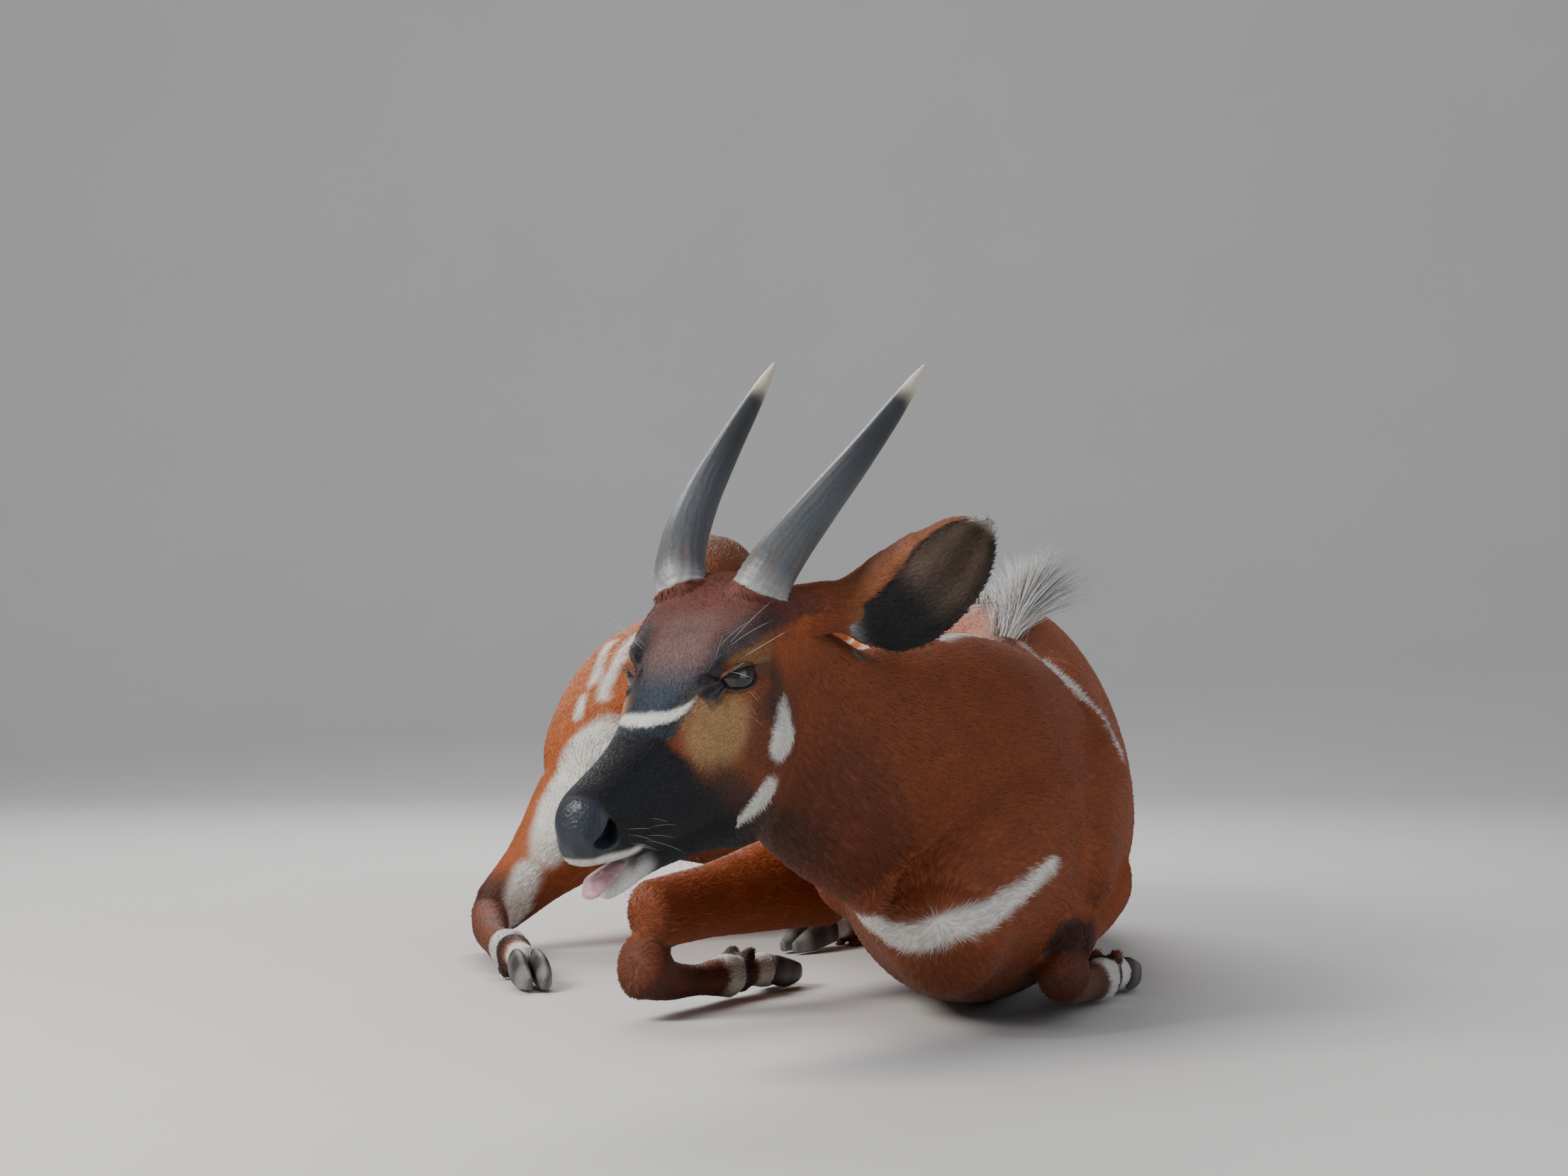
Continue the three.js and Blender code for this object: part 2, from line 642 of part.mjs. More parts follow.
// Everything in front of the split and under the line of the mouth.
function underMouth(spare) {
  const { corner, split, lower } = MOUTH;
  const outline = new THREE.Shape([
    new THREE.Vector2(split[0] + spare, -200),
    new THREE.Vector2(split[0] + spare, split[1]),
    new THREE.Vector2(corner[0], corner[1]),
    new THREE.Vector2(lower[0], lower[1] + 10),
    new THREE.Vector2(lower[0], -200),
  ]);
  const geometry = new THREE.ExtrudeGeometry(outline, { depth: 160, bevelEnabled: false });
  geometry.translate(0, 0, -80);
  geometry.rotateX(Math.PI / 2);
  return solidOf(geometry);
}

// The opening between the lids, a prism with an almond outline along the way the eye looks.
function lidOpening(side) {
  const { long, above, below, tilt } = LID_OPENING;
  const outline = new THREE.Shape();
  outline.moveTo(-long / 2, 0);
  outline.quadraticCurveTo(-long * 0.1, above * 2, long / 2, 0);
  outline.quadraticCurveTo(long * 0.08, -below * 2, -long / 2, 0);
  const geometry = new THREE.ExtrudeGeometry(outline, { depth: 40, bevelEnabled: false, curveSegments: 6 });
  const out = EYE_LOOKS.clone().setY(EYE_LOOKS.y * side);
  const up = new THREE.Vector3(Math.sin(radians(tilt)), 0, Math.cos(radians(tilt)));
  const across = new THREE.Vector3().crossVectors(up, out).normalize();
  const steep = new THREE.Vector3().crossVectors(out, across).normalize();
  geometry.applyMatrix4(new THREE.Matrix4().makeBasis(across, steep, out));
  const start = mirrored(EYE_AT.toArray(), side).addScaledVector(out, EYE_RADIUS * 0.4);
  geometry.translate(...start.toArray());
  return solidOf(geometry);
}

function eyeball(side, grow = 0) {
  const radius = EYE_RADIUS;
  return ellipsoid(mirrored(EYE_AT.toArray(), side).toArray(), [radius, radius, radius], grow, 14);
}

function lids(side) {
  const radius = EYE_RADIUS + LID_THICKNESS;
  const ball = ellipsoid(mirrored(EYE_AT.toArray(), side).toArray(), [radius + 3, radius, radius], 0, 16);
  const brow = ellipsoid([88, 48 * side, 24], [36, 14, 10], 0, 12);
  return joined(ball, brow);
}

function nostril(side) {
  const cutter = new THREE.SphereGeometry(1, 10, 7);
  cutter.scale(...NOSTRIL.radii);
  cutter.rotateY(radians(24));
  cutter.rotateZ(radians(34 * side));
  cutter.translate(...mirrored(NOSTRIL.at, side).toArray());
  return solidOf(cutter);
}

// The bare mass of the head, without lids and openings.
function headMass(grow = 0) {
  return joined(skull(grow), form(LOWER_JAW, { grow }), pedicel(1, grow), pedicel(-1, grow));
}

function wholeHead() {
  const flesh = joined(headMass(), lids(1), lids(-1));
  const cups = [1, -1].flatMap((side) => [lidOpening(side), eyeball(side, GAP), nostril(side)]);
  return cut(flesh, ...cups);
}

function horn(side, grow = 0) {
  const curve = hornLine(side);
  const root = curve.getPoint(0).addScaledVector(curve.getTangent(0), -20);
  const shares = [0, 0.12, 0.3, 0.5, 0.7, 0.84, 0.94, 0.985];
  const radii = [1, 0.96, 0.86, 0.72, 0.56, 0.42, 0.26, 0.12];
  const stations = [{ at: root.toArray(), wide: HORN_BASE_RADIUS, high: HORN_BASE_RADIUS }];
  shares.forEach((share, i) => {
    const radius = HORN_BASE_RADIUS * radii[i];
    stations.push({ at: curve.getPoint(share).toArray(), wide: radius * 0.96, high: radius * 1.04 });
  });
  return form(stations, { sides: 12, steps: 1, round: 1, grow });
}

// Ears: a curled leaf of skin around a line from root to tip, open towards one side.

const EARS = {
  left: {
    line: [
      [-44, 62, 2],
      [-82, 104, -8],
      [-120, 152, -4],
      [-152, 202, 36],
    ],
    opens: [0.6, 0.7, -0.38],
    lower: 1,
  },
  right: {
    line: [
      [-44, -62, 2],
      [-94, -90, -8],
      [-148, -112, -24],
      [-196, -124, -40],
    ],
    opens: [0.1, -0.85, -0.5],
    lower: -1,
  },
};

const EAR_SECTIONS = [
  { share: 0, radius: 16, wrap: 165 },
  { share: 0.2, radius: 28, wrap: 140 },
  { share: 0.42, radius: 43, wrap: 108 },
  { share: 0.65, radius: 49, wrap: 86 },
  { share: 0.85, radius: 39, wrap: 74 },
  { share: 1, radius: 10, wrap: 66 },
];

function earShell(name, grow = 0) {
  const { line, opens, lower } = EARS[name];
  const middle = new THREE.CatmullRomCurve3(line.map(vector));
  const profile = new THREE.CatmullRomCurve3(EAR_SECTIONS.map((s) => new THREE.Vector3(s.share, s.radius, s.wrap)));
  const count = 7;
  const rows = 8;
  const rings = [];
  for (let row = 0; row <= rows; row++) {
    const size = profile.getPoint(row / rows);
    const centre = middle.getPoint(Math.min(1, size.x));
    const along = middle.getTangent(Math.min(1, size.x));
    const side = new THREE.Vector3().crossVectors(along, vector(opens)).normalize();
    const back = new THREE.Vector3().crossVectors(along, side).normalize();
    const lobe = EAR_LOBE * Math.sin(Math.PI * THREE.MathUtils.clamp((size.x - 0.1) / 0.88, 0, 1));
    const arc = (radius, sign) =>
      Array.from({ length: count + 1 }, (_, i) => {
        const turn = sign * ((2 * i) / count - 1);
        const angle = radians(size.z) * turn;
        const hang = lower * lobe * Math.max(0, turn * lower) ** 2;
        const out = back.clone().multiplyScalar(Math.cos(angle) * radius);
        return centre.clone().add(out).addScaledVector(side, Math.sin(angle) * radius + hang);
      });
    const thick = Math.min(EAR_THICKNESS, size.y * 0.5);
    rings.push([...arc(size.y + grow, 1), ...arc(size.y - thick - grow, -1)]);
  }
  const middleOf = (ring) => ring.reduce((sum, p) => sum.add(p), new THREE.Vector3()).divideScalar(ring.length);
  return skin(rings, middleOf(rings[0]), middleOf(rings.at(-1)));
}

function ear(name, grow = 0) {
  const { line } = EARS[name];
  const root = vector(line[0]);
  const next = vector(line[1]);
  const stub = form(
    [
      { at: root.clone().lerp(next, -0.5).toArray(), wide: 21, high: 25 },
      { at: root.clone().lerp(next, 0.15).toArray(), wide: 21, high: 26 },
      { at: root.clone().lerp(next, 0.6).toArray(), wide: 16, high: 18 },
    ],
    { sides: 8, steps: 1, grow },
  );
  return joined(earShell(name, grow), stub);
}

// The scene graph

const animal = new THREE.Group();
const head = new THREE.Group();
head.position.copy(HEAD_AT);
head.rotation.set(0, radians(HEAD_NOD), radians(-90 - HEAD_TURN), "ZYX");
animal.add(head);
head.updateMatrixWorld(true);

function addPiece(group, name, solid, finish) {
  const mesh = new THREE.Mesh(geometryOf(largest(solid)), finish);
  mesh.name = name;
  group.add(mesh);
}

function inBodyFrame(solid) {
  return solid.transform(head.matrixWorld.elements);
}

function buildHead() {
  const whole = wholeHead();
  const roughHead = headMass(GAP);
  const headPiece = cut(whole, mouthWedge(GAP), underMouth(0));
  const jawPiece = cut(whole.intersect(underMouth(GAP)), mouthWedge(GAP));
  const mouthRoof = cut(roughHead, mouthWedge(0));
  addPiece(head, "head", headPiece, COAT);
  addPiece(head, "jaw", jawPiece, DARK_COAT);
  addPiece(head, "tongue", cut(form(TONGUE_FORM, { sides: 10 }), mouthRoof), TONGUE);
  for (const [name, side] of [["left", 1], ["right", -1]]) {
    const eye = eyeball(side);
    addPiece(head, `eye_${name}`, eye, EYE);
    addPiece(head, `horn_${name}`, cut(horn(side), roughHead), HORN);
    addPiece(head, `ear_${name}`, cut(ear(name), roughHead, horn(side, GAP)), COAT);
  }
  return joined(roughHead, ear("left", GAP), ear("right", GAP));
}

function buildLeg(leg, body) {
  const parts = Object.keys(LEGS[leg]).filter((part) => part !== "hoof");
  let above = body;
  let carved = null;
  for (const part of parts) {
    let solid = cut(legForm(leg, part), above, GROUND);
    if (part === "pastern") solid = cut(joined(legForm(leg, part), dewclaws(leg)), above, GROUND);
    addPiece(animal, `${leg}_${part}`, solid, COAT);
    const grown = legForm(leg, part, GAP);
    above = joined(above, grown);
    carved = carved ? joined(carved, grown) : grown;
  }
  for (const [name, turn] of [["outer", 1], ["inner", -1]]) {
    addPiece(animal, `${leg}_hoof_${name}`, cut(claw(leg, turn), above, GROUND), HOOF);
    above = joined(above, claw(leg, turn, GAP));
    carved = joined(carved, claw(leg, turn, GAP));
  }
  return carved;
}

function buildBody(headSpace) {
  const tuckedLeg = ["shank", "cannon", "pastern"].map((part) => legForm("hindleg_left", part, GAP));
  const tuckedClaws = [1, -1].map((turn) => claw("hindleg_left", turn, GAP));
  const tucked = joined(...tuckedLeg, ...tuckedClaws);
  const body = cut(joined(trunk(), crest()), tucked, GROUND);
  const [first, second] = TRUNK_CUTS;
  const front = cut(body, box([-REACH, first, -REACH], [REACH, REACH, REACH]));
  const rear = cut(body, box([-REACH, -REACH, -REACH], [REACH, second, REACH]));
  const middle = body.intersect(box([-REACH, first + GAP, -REACH], [REACH, second - GAP, REACH]));
  addPiece(animal, "torso_front", cut(front, headSpace), COAT);
  addPiece(animal, "torso_middle", middle, COAT);
  addPiece(animal, "torso_rear", rear, COAT);
  const grownTrunk = trunk(GAP);
  addPiece(animal, "neck", cut(neck(), headSpace, grownTrunk, GROUND), COAT);
  addPiece(animal, "tail", cut(tail(), grownTrunk, GROUND), COAT);
  addPiece(animal, "tail_end", cut(tailEnd(), tail(GAP), GROUND), COAT);
  return { grownTrunk, tucked };
}

const headSpace = inBodyFrame(buildHead());
const { grownTrunk, tucked } = buildBody(headSpace);
const grownNeck = neck(GAP);
const bodySpace = joined(grownTrunk, grownNeck, headSpace);
buildLeg("foreleg_right", bodySpace);
buildLeg("foreleg_left", bodySpace);
buildLeg("hindleg_right", bodySpace);
buildLeg("hindleg_left", joined(grownTrunk, grownNeck));

// The origin is under the middle of the animal, on the ground

const extent = new THREE.Box3().setFromObject(animal, true);
const middleOfAll = extent.getCenter(new THREE.Vector3());
animal.position.set(-middleOfAll.x, -middleOfAll.y, -extent.min.z);

const bongo = new THREE.Group();
bongo.add(animal);

export default bongo;
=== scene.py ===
"""A life-size bongo antelope: skin, coat, crest, eyes, horns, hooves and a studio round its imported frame.

Shapes are worked out in millimetres in the animal's own frame, X to its left, Y towards its tail and Z up,
or in its head's frame, X forward along the nasal bridge, Y to its left and Z up.
"""

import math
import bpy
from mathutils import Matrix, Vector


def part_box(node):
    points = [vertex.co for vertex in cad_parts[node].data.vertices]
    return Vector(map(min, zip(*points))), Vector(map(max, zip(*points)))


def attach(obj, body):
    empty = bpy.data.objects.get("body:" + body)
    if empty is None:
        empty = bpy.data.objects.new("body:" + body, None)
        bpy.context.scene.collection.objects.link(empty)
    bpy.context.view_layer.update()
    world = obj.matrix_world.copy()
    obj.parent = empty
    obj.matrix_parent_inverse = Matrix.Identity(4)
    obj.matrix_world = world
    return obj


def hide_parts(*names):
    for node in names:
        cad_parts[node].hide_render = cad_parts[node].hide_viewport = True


bl_info = {
    "name": "Bongo antelope",
    "version": (1, 0, 0),
    "blender": (4, 5, 0),
    "location": "View3D > Sidebar > Bongo",
    "description": "Builds the skin, coat, crest, eyes, horns and hooves of a lying bongo",
    "category": "Object",
}

import bmesh
import bpy
import numpy as np
from mathutils import Matrix, Vector
from mathutils.kdtree import KDTree

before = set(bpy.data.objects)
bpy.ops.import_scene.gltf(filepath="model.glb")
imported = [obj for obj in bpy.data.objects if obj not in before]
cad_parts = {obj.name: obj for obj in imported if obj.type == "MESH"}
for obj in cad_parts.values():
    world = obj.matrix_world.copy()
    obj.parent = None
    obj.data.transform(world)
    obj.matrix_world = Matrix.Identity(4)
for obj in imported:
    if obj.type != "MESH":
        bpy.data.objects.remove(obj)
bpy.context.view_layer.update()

BODY = "root"
MM = 0.001

# Frames

HEAD_AT = np.array((-42.0, -517.0, 390.0))
HEAD_TURN = math.radians(29)
HEAD_NOD = math.radians(26)
HEAD_AXES = np.array(Matrix.Rotation(-math.pi / 2 - HEAD_TURN, 3, "Z") @ Matrix.Rotation(HEAD_NOD, 3, "Y"))

EYE_AT = np.array((96.0, 44.5, 3.0))
EYE_LOOKS = np.array((0.38, 0.91, 0.12))
BALL_RADIUS = 19.0


def unit(vectors):
    """Vectors of length one."""
    vectors = np.asarray(vectors, float)
    return vectors / np.maximum(np.linalg.norm(vectors, axis=-1, keepdims=True), 1e-9)


def from_head(points):
    """Points of the head's frame in the animal's frame."""
    return np.asarray(points, float) @ HEAD_AXES.T + HEAD_AT


def to_head(points):
    """Points of the animal's frame in the head's frame."""
    return (np.asarray(points, float) - HEAD_AT) @ HEAD_AXES


SIDES = {1: "left", -1: "right"}


def other_side(point, side):
    """A point of the head on its left, side 1, or mirrored to its right, side -1."""
    return np.asarray(point, float) * (1, side, 1)


def eye_middle_in_frame():
    low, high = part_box("eye_left")
    return np.array((low + high) / 2)


SHIFT = eye_middle_in_frame() - from_head(EYE_AT) * MM


def to_frame(points):
    """Points of the animal's frame, in millimetres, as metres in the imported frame."""
    return np.asarray(points, float) * MM + SHIFT


# Curves and rounded forms


def spline(points, shares, closed=False):
    """Points at shares of the way along a smooth curve through the given points."""
    points = np.asarray(points, float)
    count = len(points)
    spans = count if closed else count - 1
    where = np.asarray(shares, float) * spans
    span = np.clip(where.astype(int), 0, spans - 1)
    weight = (where - span)[:, None]
    if closed:
        a, b, c, d = (points[(span + k) % count] for k in (-1, 0, 1, 2))
    else:
        longer = np.vstack([2 * points[0] - points[1], points, 2 * points[-1] - points[-2]])
        a, b, c, d = (longer[span + k] for k in range(4))
    steps = (b - a, c - b, d - c)
    before, here, after = (np.linalg.norm(step, axis=1)[:, None] ** 0.5 for step in steps)
    here = np.where(here < 1e-4, 1, here)
    before = np.where(before < 1e-4, here, before)
    after = np.where(after < 1e-4, here, after)
    leave = ((b - a) / before - (c - a) / (before + here) + (c - b) / here) * here
    arrive = ((c - b) / here - (d - b) / (here + after) + (d - c) / after) * here
    square = (3 * (c - b) - 2 * leave - arrive) * weight**2
    return b + leave * weight + square + (2 * (b - c) + leave + arrive) * weight**3


def station(x, y, z, wide, high, deep=None, crown=2.0, keel=2.0, top=(0, 0, 1)):
    """A place on a form's middle line, its half width, height over it, depth under it and roundness."""
    return (x, y, z, wide, high, high if deep is None else deep, crown, keel, *top)


def sections(stations, shares):
    """Centre, directions, sizes and roundness of a form at shares of its way."""
    rows = np.array([station(*row) for row in stations], float)
    shares = np.asarray(shares, float)
    centre = spline(rows[:, 0:3], shares)
    ahead = spline(rows[:, 0:3], np.minimum(shares + 1e-4, 1))
    behind = spline(rows[:, 0:3], np.maximum(shares - 1e-4, 0))
    along = unit(ahead - behind)
    side = unit(np.cross(along, spline(rows[:, 8:11], shares)))
    top = unit(np.cross(side, along))
    size = spline(rows[:, 3:6], shares)
    bend = spline(rows[:, 6:8], shares)
    return centre, along, side, top, size, bend


def skin_of_rings(rings, first, last):
    """Points and triangles of the closed surface through rings of points, pointed at both ends."""
    count, sides = rings.shape[:2]
    points = np.vstack([first, rings.reshape(-1, 3), last])
    ring, side = np.meshgrid(np.arange(count - 1), np.arange(sides), indexing="ij")
    near = 1 + ring * sides + side
    beside = 1 + ring * sides + (side + 1) % sides
    walls = [np.stack([near, beside, beside + sides], -1)]
    walls.append(np.stack([near, beside + sides, near + sides], -1))
    turn = np.arange(sides)
    following = (turn + 1) % sides
    end = len(points) - 1
    tip = np.full(sides, end)
    caps = [np.stack([0 * turn, 1 + following, 1 + turn], -1)]
    caps.append(np.stack([tip, end - sides + turn, end - sides + following], -1))
    return points, np.vstack([part.reshape(-1, 3) for part in walls + caps])


def form(stations, sides=32, steps=6, round_end=0.5, caps=(75, 55, 35, 18), grow=0.0):
    """Points and triangles of a rounded form through its stations."""
    spans = (len(stations) - 1) * steps
    shares = np.linspace(0, 1, spans + 1)
    centre, along, side, top, size, bend = sections(stations, shares)
    angle = np.arange(sides) / sides * math.tau
    c, s = np.cos(angle), np.sin(angle)

    def ring(i, shrink, shift):
        power = 2 / np.where(s >= 0, bend[i, 0], bend[i, 1])
        out = (size[i, 0] + grow) * shrink * np.sign(c) * np.abs(c) ** power
        high = (np.where(s >= 0, size[i, 1], size[i, 2]) + grow) * shrink
        up = high * np.sign(s) * np.abs(s) ** power
        return centre[i] + along[i] * shift + out[:, None] * side[i] + up[:, None] * top[i]

    start = round_end * size[0, 0] + grow
    end = round_end * size[-1, 0] + grow
    rings = []
    for degrees in caps:
        rings.append(ring(0, math.cos(math.radians(degrees)), -start * math.sin(math.radians(degrees))))
    rings.extend(ring(i, 1, 0) for i in range(spans + 1))
    for degrees in reversed(caps):
        rings.append(ring(spans, math.cos(math.radians(degrees)), end * math.sin(math.radians(degrees))))
    return skin_of_rings(np.array(rings), centre[0] - along[0] * start, centre[-1] + along[-1] * end)


def merged(shapes):
    """Several shapes' points and triangles as one."""
    points, corners, used = [], [], 0
    for shape_points, shape_corners in shapes:
        points.append(shape_points)
        corners.append(np.asarray(shape_corners) + used)
        used += len(shape_points)
    return np.vstack(points), np.vstack(corners)


# The flesh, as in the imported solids: each row is what station says of one place along a form

TRUNK = [
    (150, -452, 104, 62, 58, 74),
    (160, -390, 138, 98, 104, 118),
    (176, -300, 160, 130, 164, 150),
    (194, -190, 170, 146, 196, 168, 1.8, 2, (0.08, 0, 1)),
    (210, -70, 170, 152, 210, 172, 1.65, 2, (0.12, 0, 1)),
    (226, 60, 168, 158, 242, 172, 1.6, 2, (0.14, 0, 1)),
    (236, 200, 168, 168, 250, 172, 1.7, 2, (0.12, 0, 1)),
    (232, 360, 172, 177, 242, 176, 1.8, 2, (0.1, 0, 1)),
    (212, 510, 178, 179, 236, 180, 1.9, 2, (0.06, 0, 1)),
    (176, 640, 192, 170, 230, 184, 1.9),
    (138, 735, 210, 142, 184, 160, 1.9),
    (108, 795, 220, 92, 118, 96),
]

SHOULDER_LEFT = [
    (272, -60, 300, 58, 66, 70),
    (292, -170, 226, 66, 80, 80),
    (272, -292, 156, 62, 70, 70),
]

SHOULDER_RIGHT = [
    (146, -60, 296, 58, 66, 70),
    (92, -170, 224, 66, 80, 80),
    (84, -292, 156, 62, 70, 70),
]

NECK = [
    (-24, -488, 346, 54, 80, 84, 2, 2, (-0.206, -0.387, 0.899)),
    (32, -446, 282, 70, 106, 112, 2, 2, (-0.1, -0.1, 1)),
    (98, -388, 248, 90, 134, 136, 2, 2, (0, 0, 1)),
    (158, -296, 238, 116, 150, 160, 2, 2, (0.06, 0, 1)),
    (196, -180, 232, 130, 146, 150, 2, 2, (0.1, 0, 1)),
]

LEGS = {
    "foreleg_right": {
        "forearm": [
            (40, -96, 128, 48, 60, 56),
            (-20, -172, 120, 42, 50, 46),
            (-84, -244, 112, 33, 38, 38),
            (-130, -294, 104, 33, 38, 36),
        ],
        "cannon": [
            (-140, -300, 60, 29, 34, 42),
            (-122, -254, 38, 21, 22, 26),
            (-90, -196, 28, 17, 18, 18),
            (-58, -140, 27, 22, 24, 26),
        ],
        "pastern": [
            (-51, -127, 27, 21, 23, 24),
            (-35, -98, 26, 17, 18, 18),
            (-22, -74, 25, 20, 20, 22),
        ],
        "hoof": ((-19, -68, 25), (8, -12, 12), -1),
    },
    "foreleg_left": {
        "forearm": [
            (322, -90, 122, 48, 58, 54),
            (306, -190, 108, 40, 44, 42),
            (288, -276, 94, 31, 34, 33),
            (272, -344, 83, 32, 33, 33),
        ],
        "cannon": [
            (272, -360, 54, 28, 31, 30),
            (284, -308, 36, 21, 20, 20),
            (304, -236, 28, 17, 18, 18),
            (328, -170, 27, 22, 24, 26),
        ],
        "pastern": [
            (332, -156, 27, 21, 23, 24),
            (341, -126, 26, 17, 18, 18),
            (350, -100, 25, 20, 20, 22),
        ],
        "hoof": ((352, -93, 25), (368, -32, 12), -1),
    },
    "hindleg_right": {
        "thigh": [
            (48, 716, 236, 130, 154, 172),
            (-60, 622, 258, 154, 164, 190, 2.3),
            (-156, 506, 244, 136, 140, 158, 2.2),
            (-212, 416, 220, 90, 94, 102),
            (-226, 358, 204, 56, 62, 68),
        ],
        "shank": [
            (-204, 404, 188, 78, 92, 84),
            (-250, 378, 140, 62, 72, 66),
            (-300, 338, 90, 40, 44, 44),
            (-338, 306, 54, 30, 33, 36),
        ],
        "cannon": [
            (-344, 306, 45, 27, 31, 34),
            (-342, 246, 35, 22, 24, 24),
            (-326, 150, 30, 18, 19, 19),
            (-302, 62, 30, 23, 25, 28),
        ],
        "pastern": [
            (-298, 48, 30, 22, 23, 26),
            (-288, 14, 28, 17, 18, 18),
            (-280, -12, 25, 20, 20, 20),
        ],
        "hoof": ((-278, -19, 23), (-262, -84, 12), 1),
    },
    "hindleg_left": {
        "thigh": [
            (206, 706, 172, 116, 128, 168),
            (286, 600, 150, 104, 112, 150),
            (332, 490, 118, 78, 84, 118),
            (344, 410, 94, 58, 60, 94),
        ],
        "shank": [
            (336, 424, 66, 58, 56, 66),
            (300, 500, 56, 46, 42, 52),
            (262, 566, 44, 32, 30, 36),
            (232, 612, 38, 28, 28, 30),
        ],
        "cannon": [
            (228, 620, 36, 26, 26, 30),
            (194, 566, 30, 21, 22, 22),
            (142, 478, 27, 18, 18, 19),
            (92, 396, 27, 22, 24, 27),
        ],
        "pastern": [
            (84, 384, 27, 21, 23, 25),
            (64, 356, 26, 17, 18, 18),
            (48, 334, 24, 20, 20, 20),
        ],
        "hoof": ((44, 328, 23), (6, 276, 12), 1),
    },
}

TAIL = [
    (112, 800, 292, 21, 21),
    (102, 846, 250, 17, 17),
    (98, 872, 180, 14, 14),
    (106, 884, 98, 12, 12),
    (136, 890, 36, 11, 11),
    (190, 890, 16, 10, 10),
    (240, 878, 13, 9, 9),
]

# Head sections: forward, crown, brow, cheek, jowl and keel, each pair a half width and a height
HEAD_SECTIONS = [
    (-62, 14, (32, 6), (48, -30), (40, -86), -108),
    (-20, 52, (48, 44), (60, -18), (48, -102), -148),
    (12, 58, (58, 50), (63, -12), (47, -114), -176),
    (48, 51, (60, 42), (62, -14), (46, -120), -186),
    (82, 42, (60, 32), (60, -18), (44, -117), -181),
    (110, 30, (54, 20), (55, -24), (41, -109), -167),
    (140, 17, (43, 8), (49, -29), (38, -101), -152),
    (168, 8, (35, -2), (43, -35), (34, -95), -138),
    (205, 1, (28, -7), (36, -40), (30, -90), -124),
    (240, 0, (24, -8), (31, -40), (28, -78), -106),
    (272, 0, (23, -8), (30, -38), (29, -70), -85),
    (298, 0, (23, -9), (31, -37), (27, -64), -74),
    (316, -5, (21, -14), (28, -39), (21, -58), -67),
    (330, -22, (13, -27), (19, -42), (15, -54), -60),
]

LOWER_JAW = [
    (130, 0, -128, 32, 24, 25),
    (208, 0, -109, 26, 21, 17),
    (256, 0, -99, 22, 15, 14),
    (288, 0, -97, 18, 11, 12),
    (305, 0, -96, 13, 7, 10),
]

TONGUE = [
    (275, 0, -87, 9, 2.5, 3),
    (296, 1, -84, 13, 4.5, 4.5),
    (314, 2, -82, 14, 4.5, 4.5),
    (327, 2, -86, 10, 4, 4),
]

MOUTH = {"corner": (268, -86), "upper": (352, -63), "lower": (352, -97)}

HORN_CURVE = ((14, 38.5, 43), (0, 56, 82), (-124, 76, 93), (-312, 85.5, 137))
HORN_BASE_RADIUS = 26.5
HORN_STRETCH = {1: 1.0, -1: 1.035}
PEDICEL_HEIGHT = 6
PEDICEL_THICKNESS = 1.6

EARS = {
    1: (((-44, 62, 2), (-82, 104, -8), (-120, 152, -4), (-152, 202, 36)), (0.6, 0.7, -0.38), 1),
    -1: (((-44, -62, 2), (-94, -90, -8), (-148, -112, -24), (-196, -124, -40)), (0.1, -0.85, -0.5), -1),
}
# Share of the ear's length, radius of its curl and how far round it goes, in degrees each way
EAR_SECTIONS = (
    (0, 16, 165),
    (0.2, 28, 140),
    (0.42, 43, 108),
    (0.65, 49, 86),
    (0.85, 39, 74),
    (1, 10, 66),
)
EAR_THICKNESS = 4.2
EAR_LOBE = 26

# How far the skin lies inside the solids, for its coat
COAT_DEPTH = {"body": 4.0, "leg": 2.6, "head": 1.2, "ear": 0.6}


def skull(grow=0.0, sides=96, steps=8):
    rows = []
    for forward, crown, brow, cheek, jowl, keel in HEAD_SECTIONS:
        left = [(forward, *corner) for corner in (brow, cheek, jowl)]
        right = [(x, -y, z) for x, y, z in reversed(left)]
        rows.append([(forward, 0, crown), *left, (forward, 0, keel), *right])
    rows = np.array(rows, float)
    shares = np.linspace(0, 1, (len(rows) - 1) * steps + 1)
    rails = np.stack([spline(rows[:, i], shares) for i in range(rows.shape[1])], 1)
    around = np.arange(sides) / sides
    rings = np.array([spline(outline, around, closed=True) for outline in rails])
    outward = rings - rings.mean(1, keepdims=True)
    outward[..., 0] = 0
    rings = rings + unit(outward) * grow
    back = (HEAD_SECTIONS[0][0] - 14 - grow, 0, -50)
    front = (HEAD_SECTIONS[-1][0] + 6 + grow, 0, -42)
    points, corners = skin_of_rings(rings, back, front)
    return from_head(points), corners


def bezier(points, shares):
    a, b, c, d = (np.asarray(point, float) for point in points)
    t = np.asarray(shares, float)[:, None]
    return a * (1 - t) ** 3 + 3 * b * t * (1 - t) ** 2 + 3 * c * t**2 * (1 - t) + d * t**3


def horn_points(side):
    foot = other_side(HORN_CURVE[0], side)
    return [foot + (other_side(point, side) - foot) * HORN_STRETCH[side] for point in HORN_CURVE]


def pedicel(side, grow=0.0):
    points = horn_points(side)
    foot = points[0]
    along = unit(points[1] - points[0])
    radius = HORN_BASE_RADIUS + PEDICEL_THICKNESS
    stations = []
    for up, shrink in ((-18, 0), (PEDICEL_HEIGHT * 0.4, 0), (PEDICEL_HEIGHT, 2)):
        stations.append((*(foot + along * up), radius - shrink, radius - shrink))
    shape, corners = form(stations, round_end=0.1, grow=grow)
    return from_head(shape), corners


def in_head(stations, **sizes):
    shape, corners = form(stations, **sizes)
    return from_head(shape), corners


def ear_lobe(share):
    """How far the lower edge of an ear hangs past its curl, at a share of its length."""
    return EAR_LOBE * np.sin(math.pi * np.clip((share - 0.1) / 0.88, 0, 1))


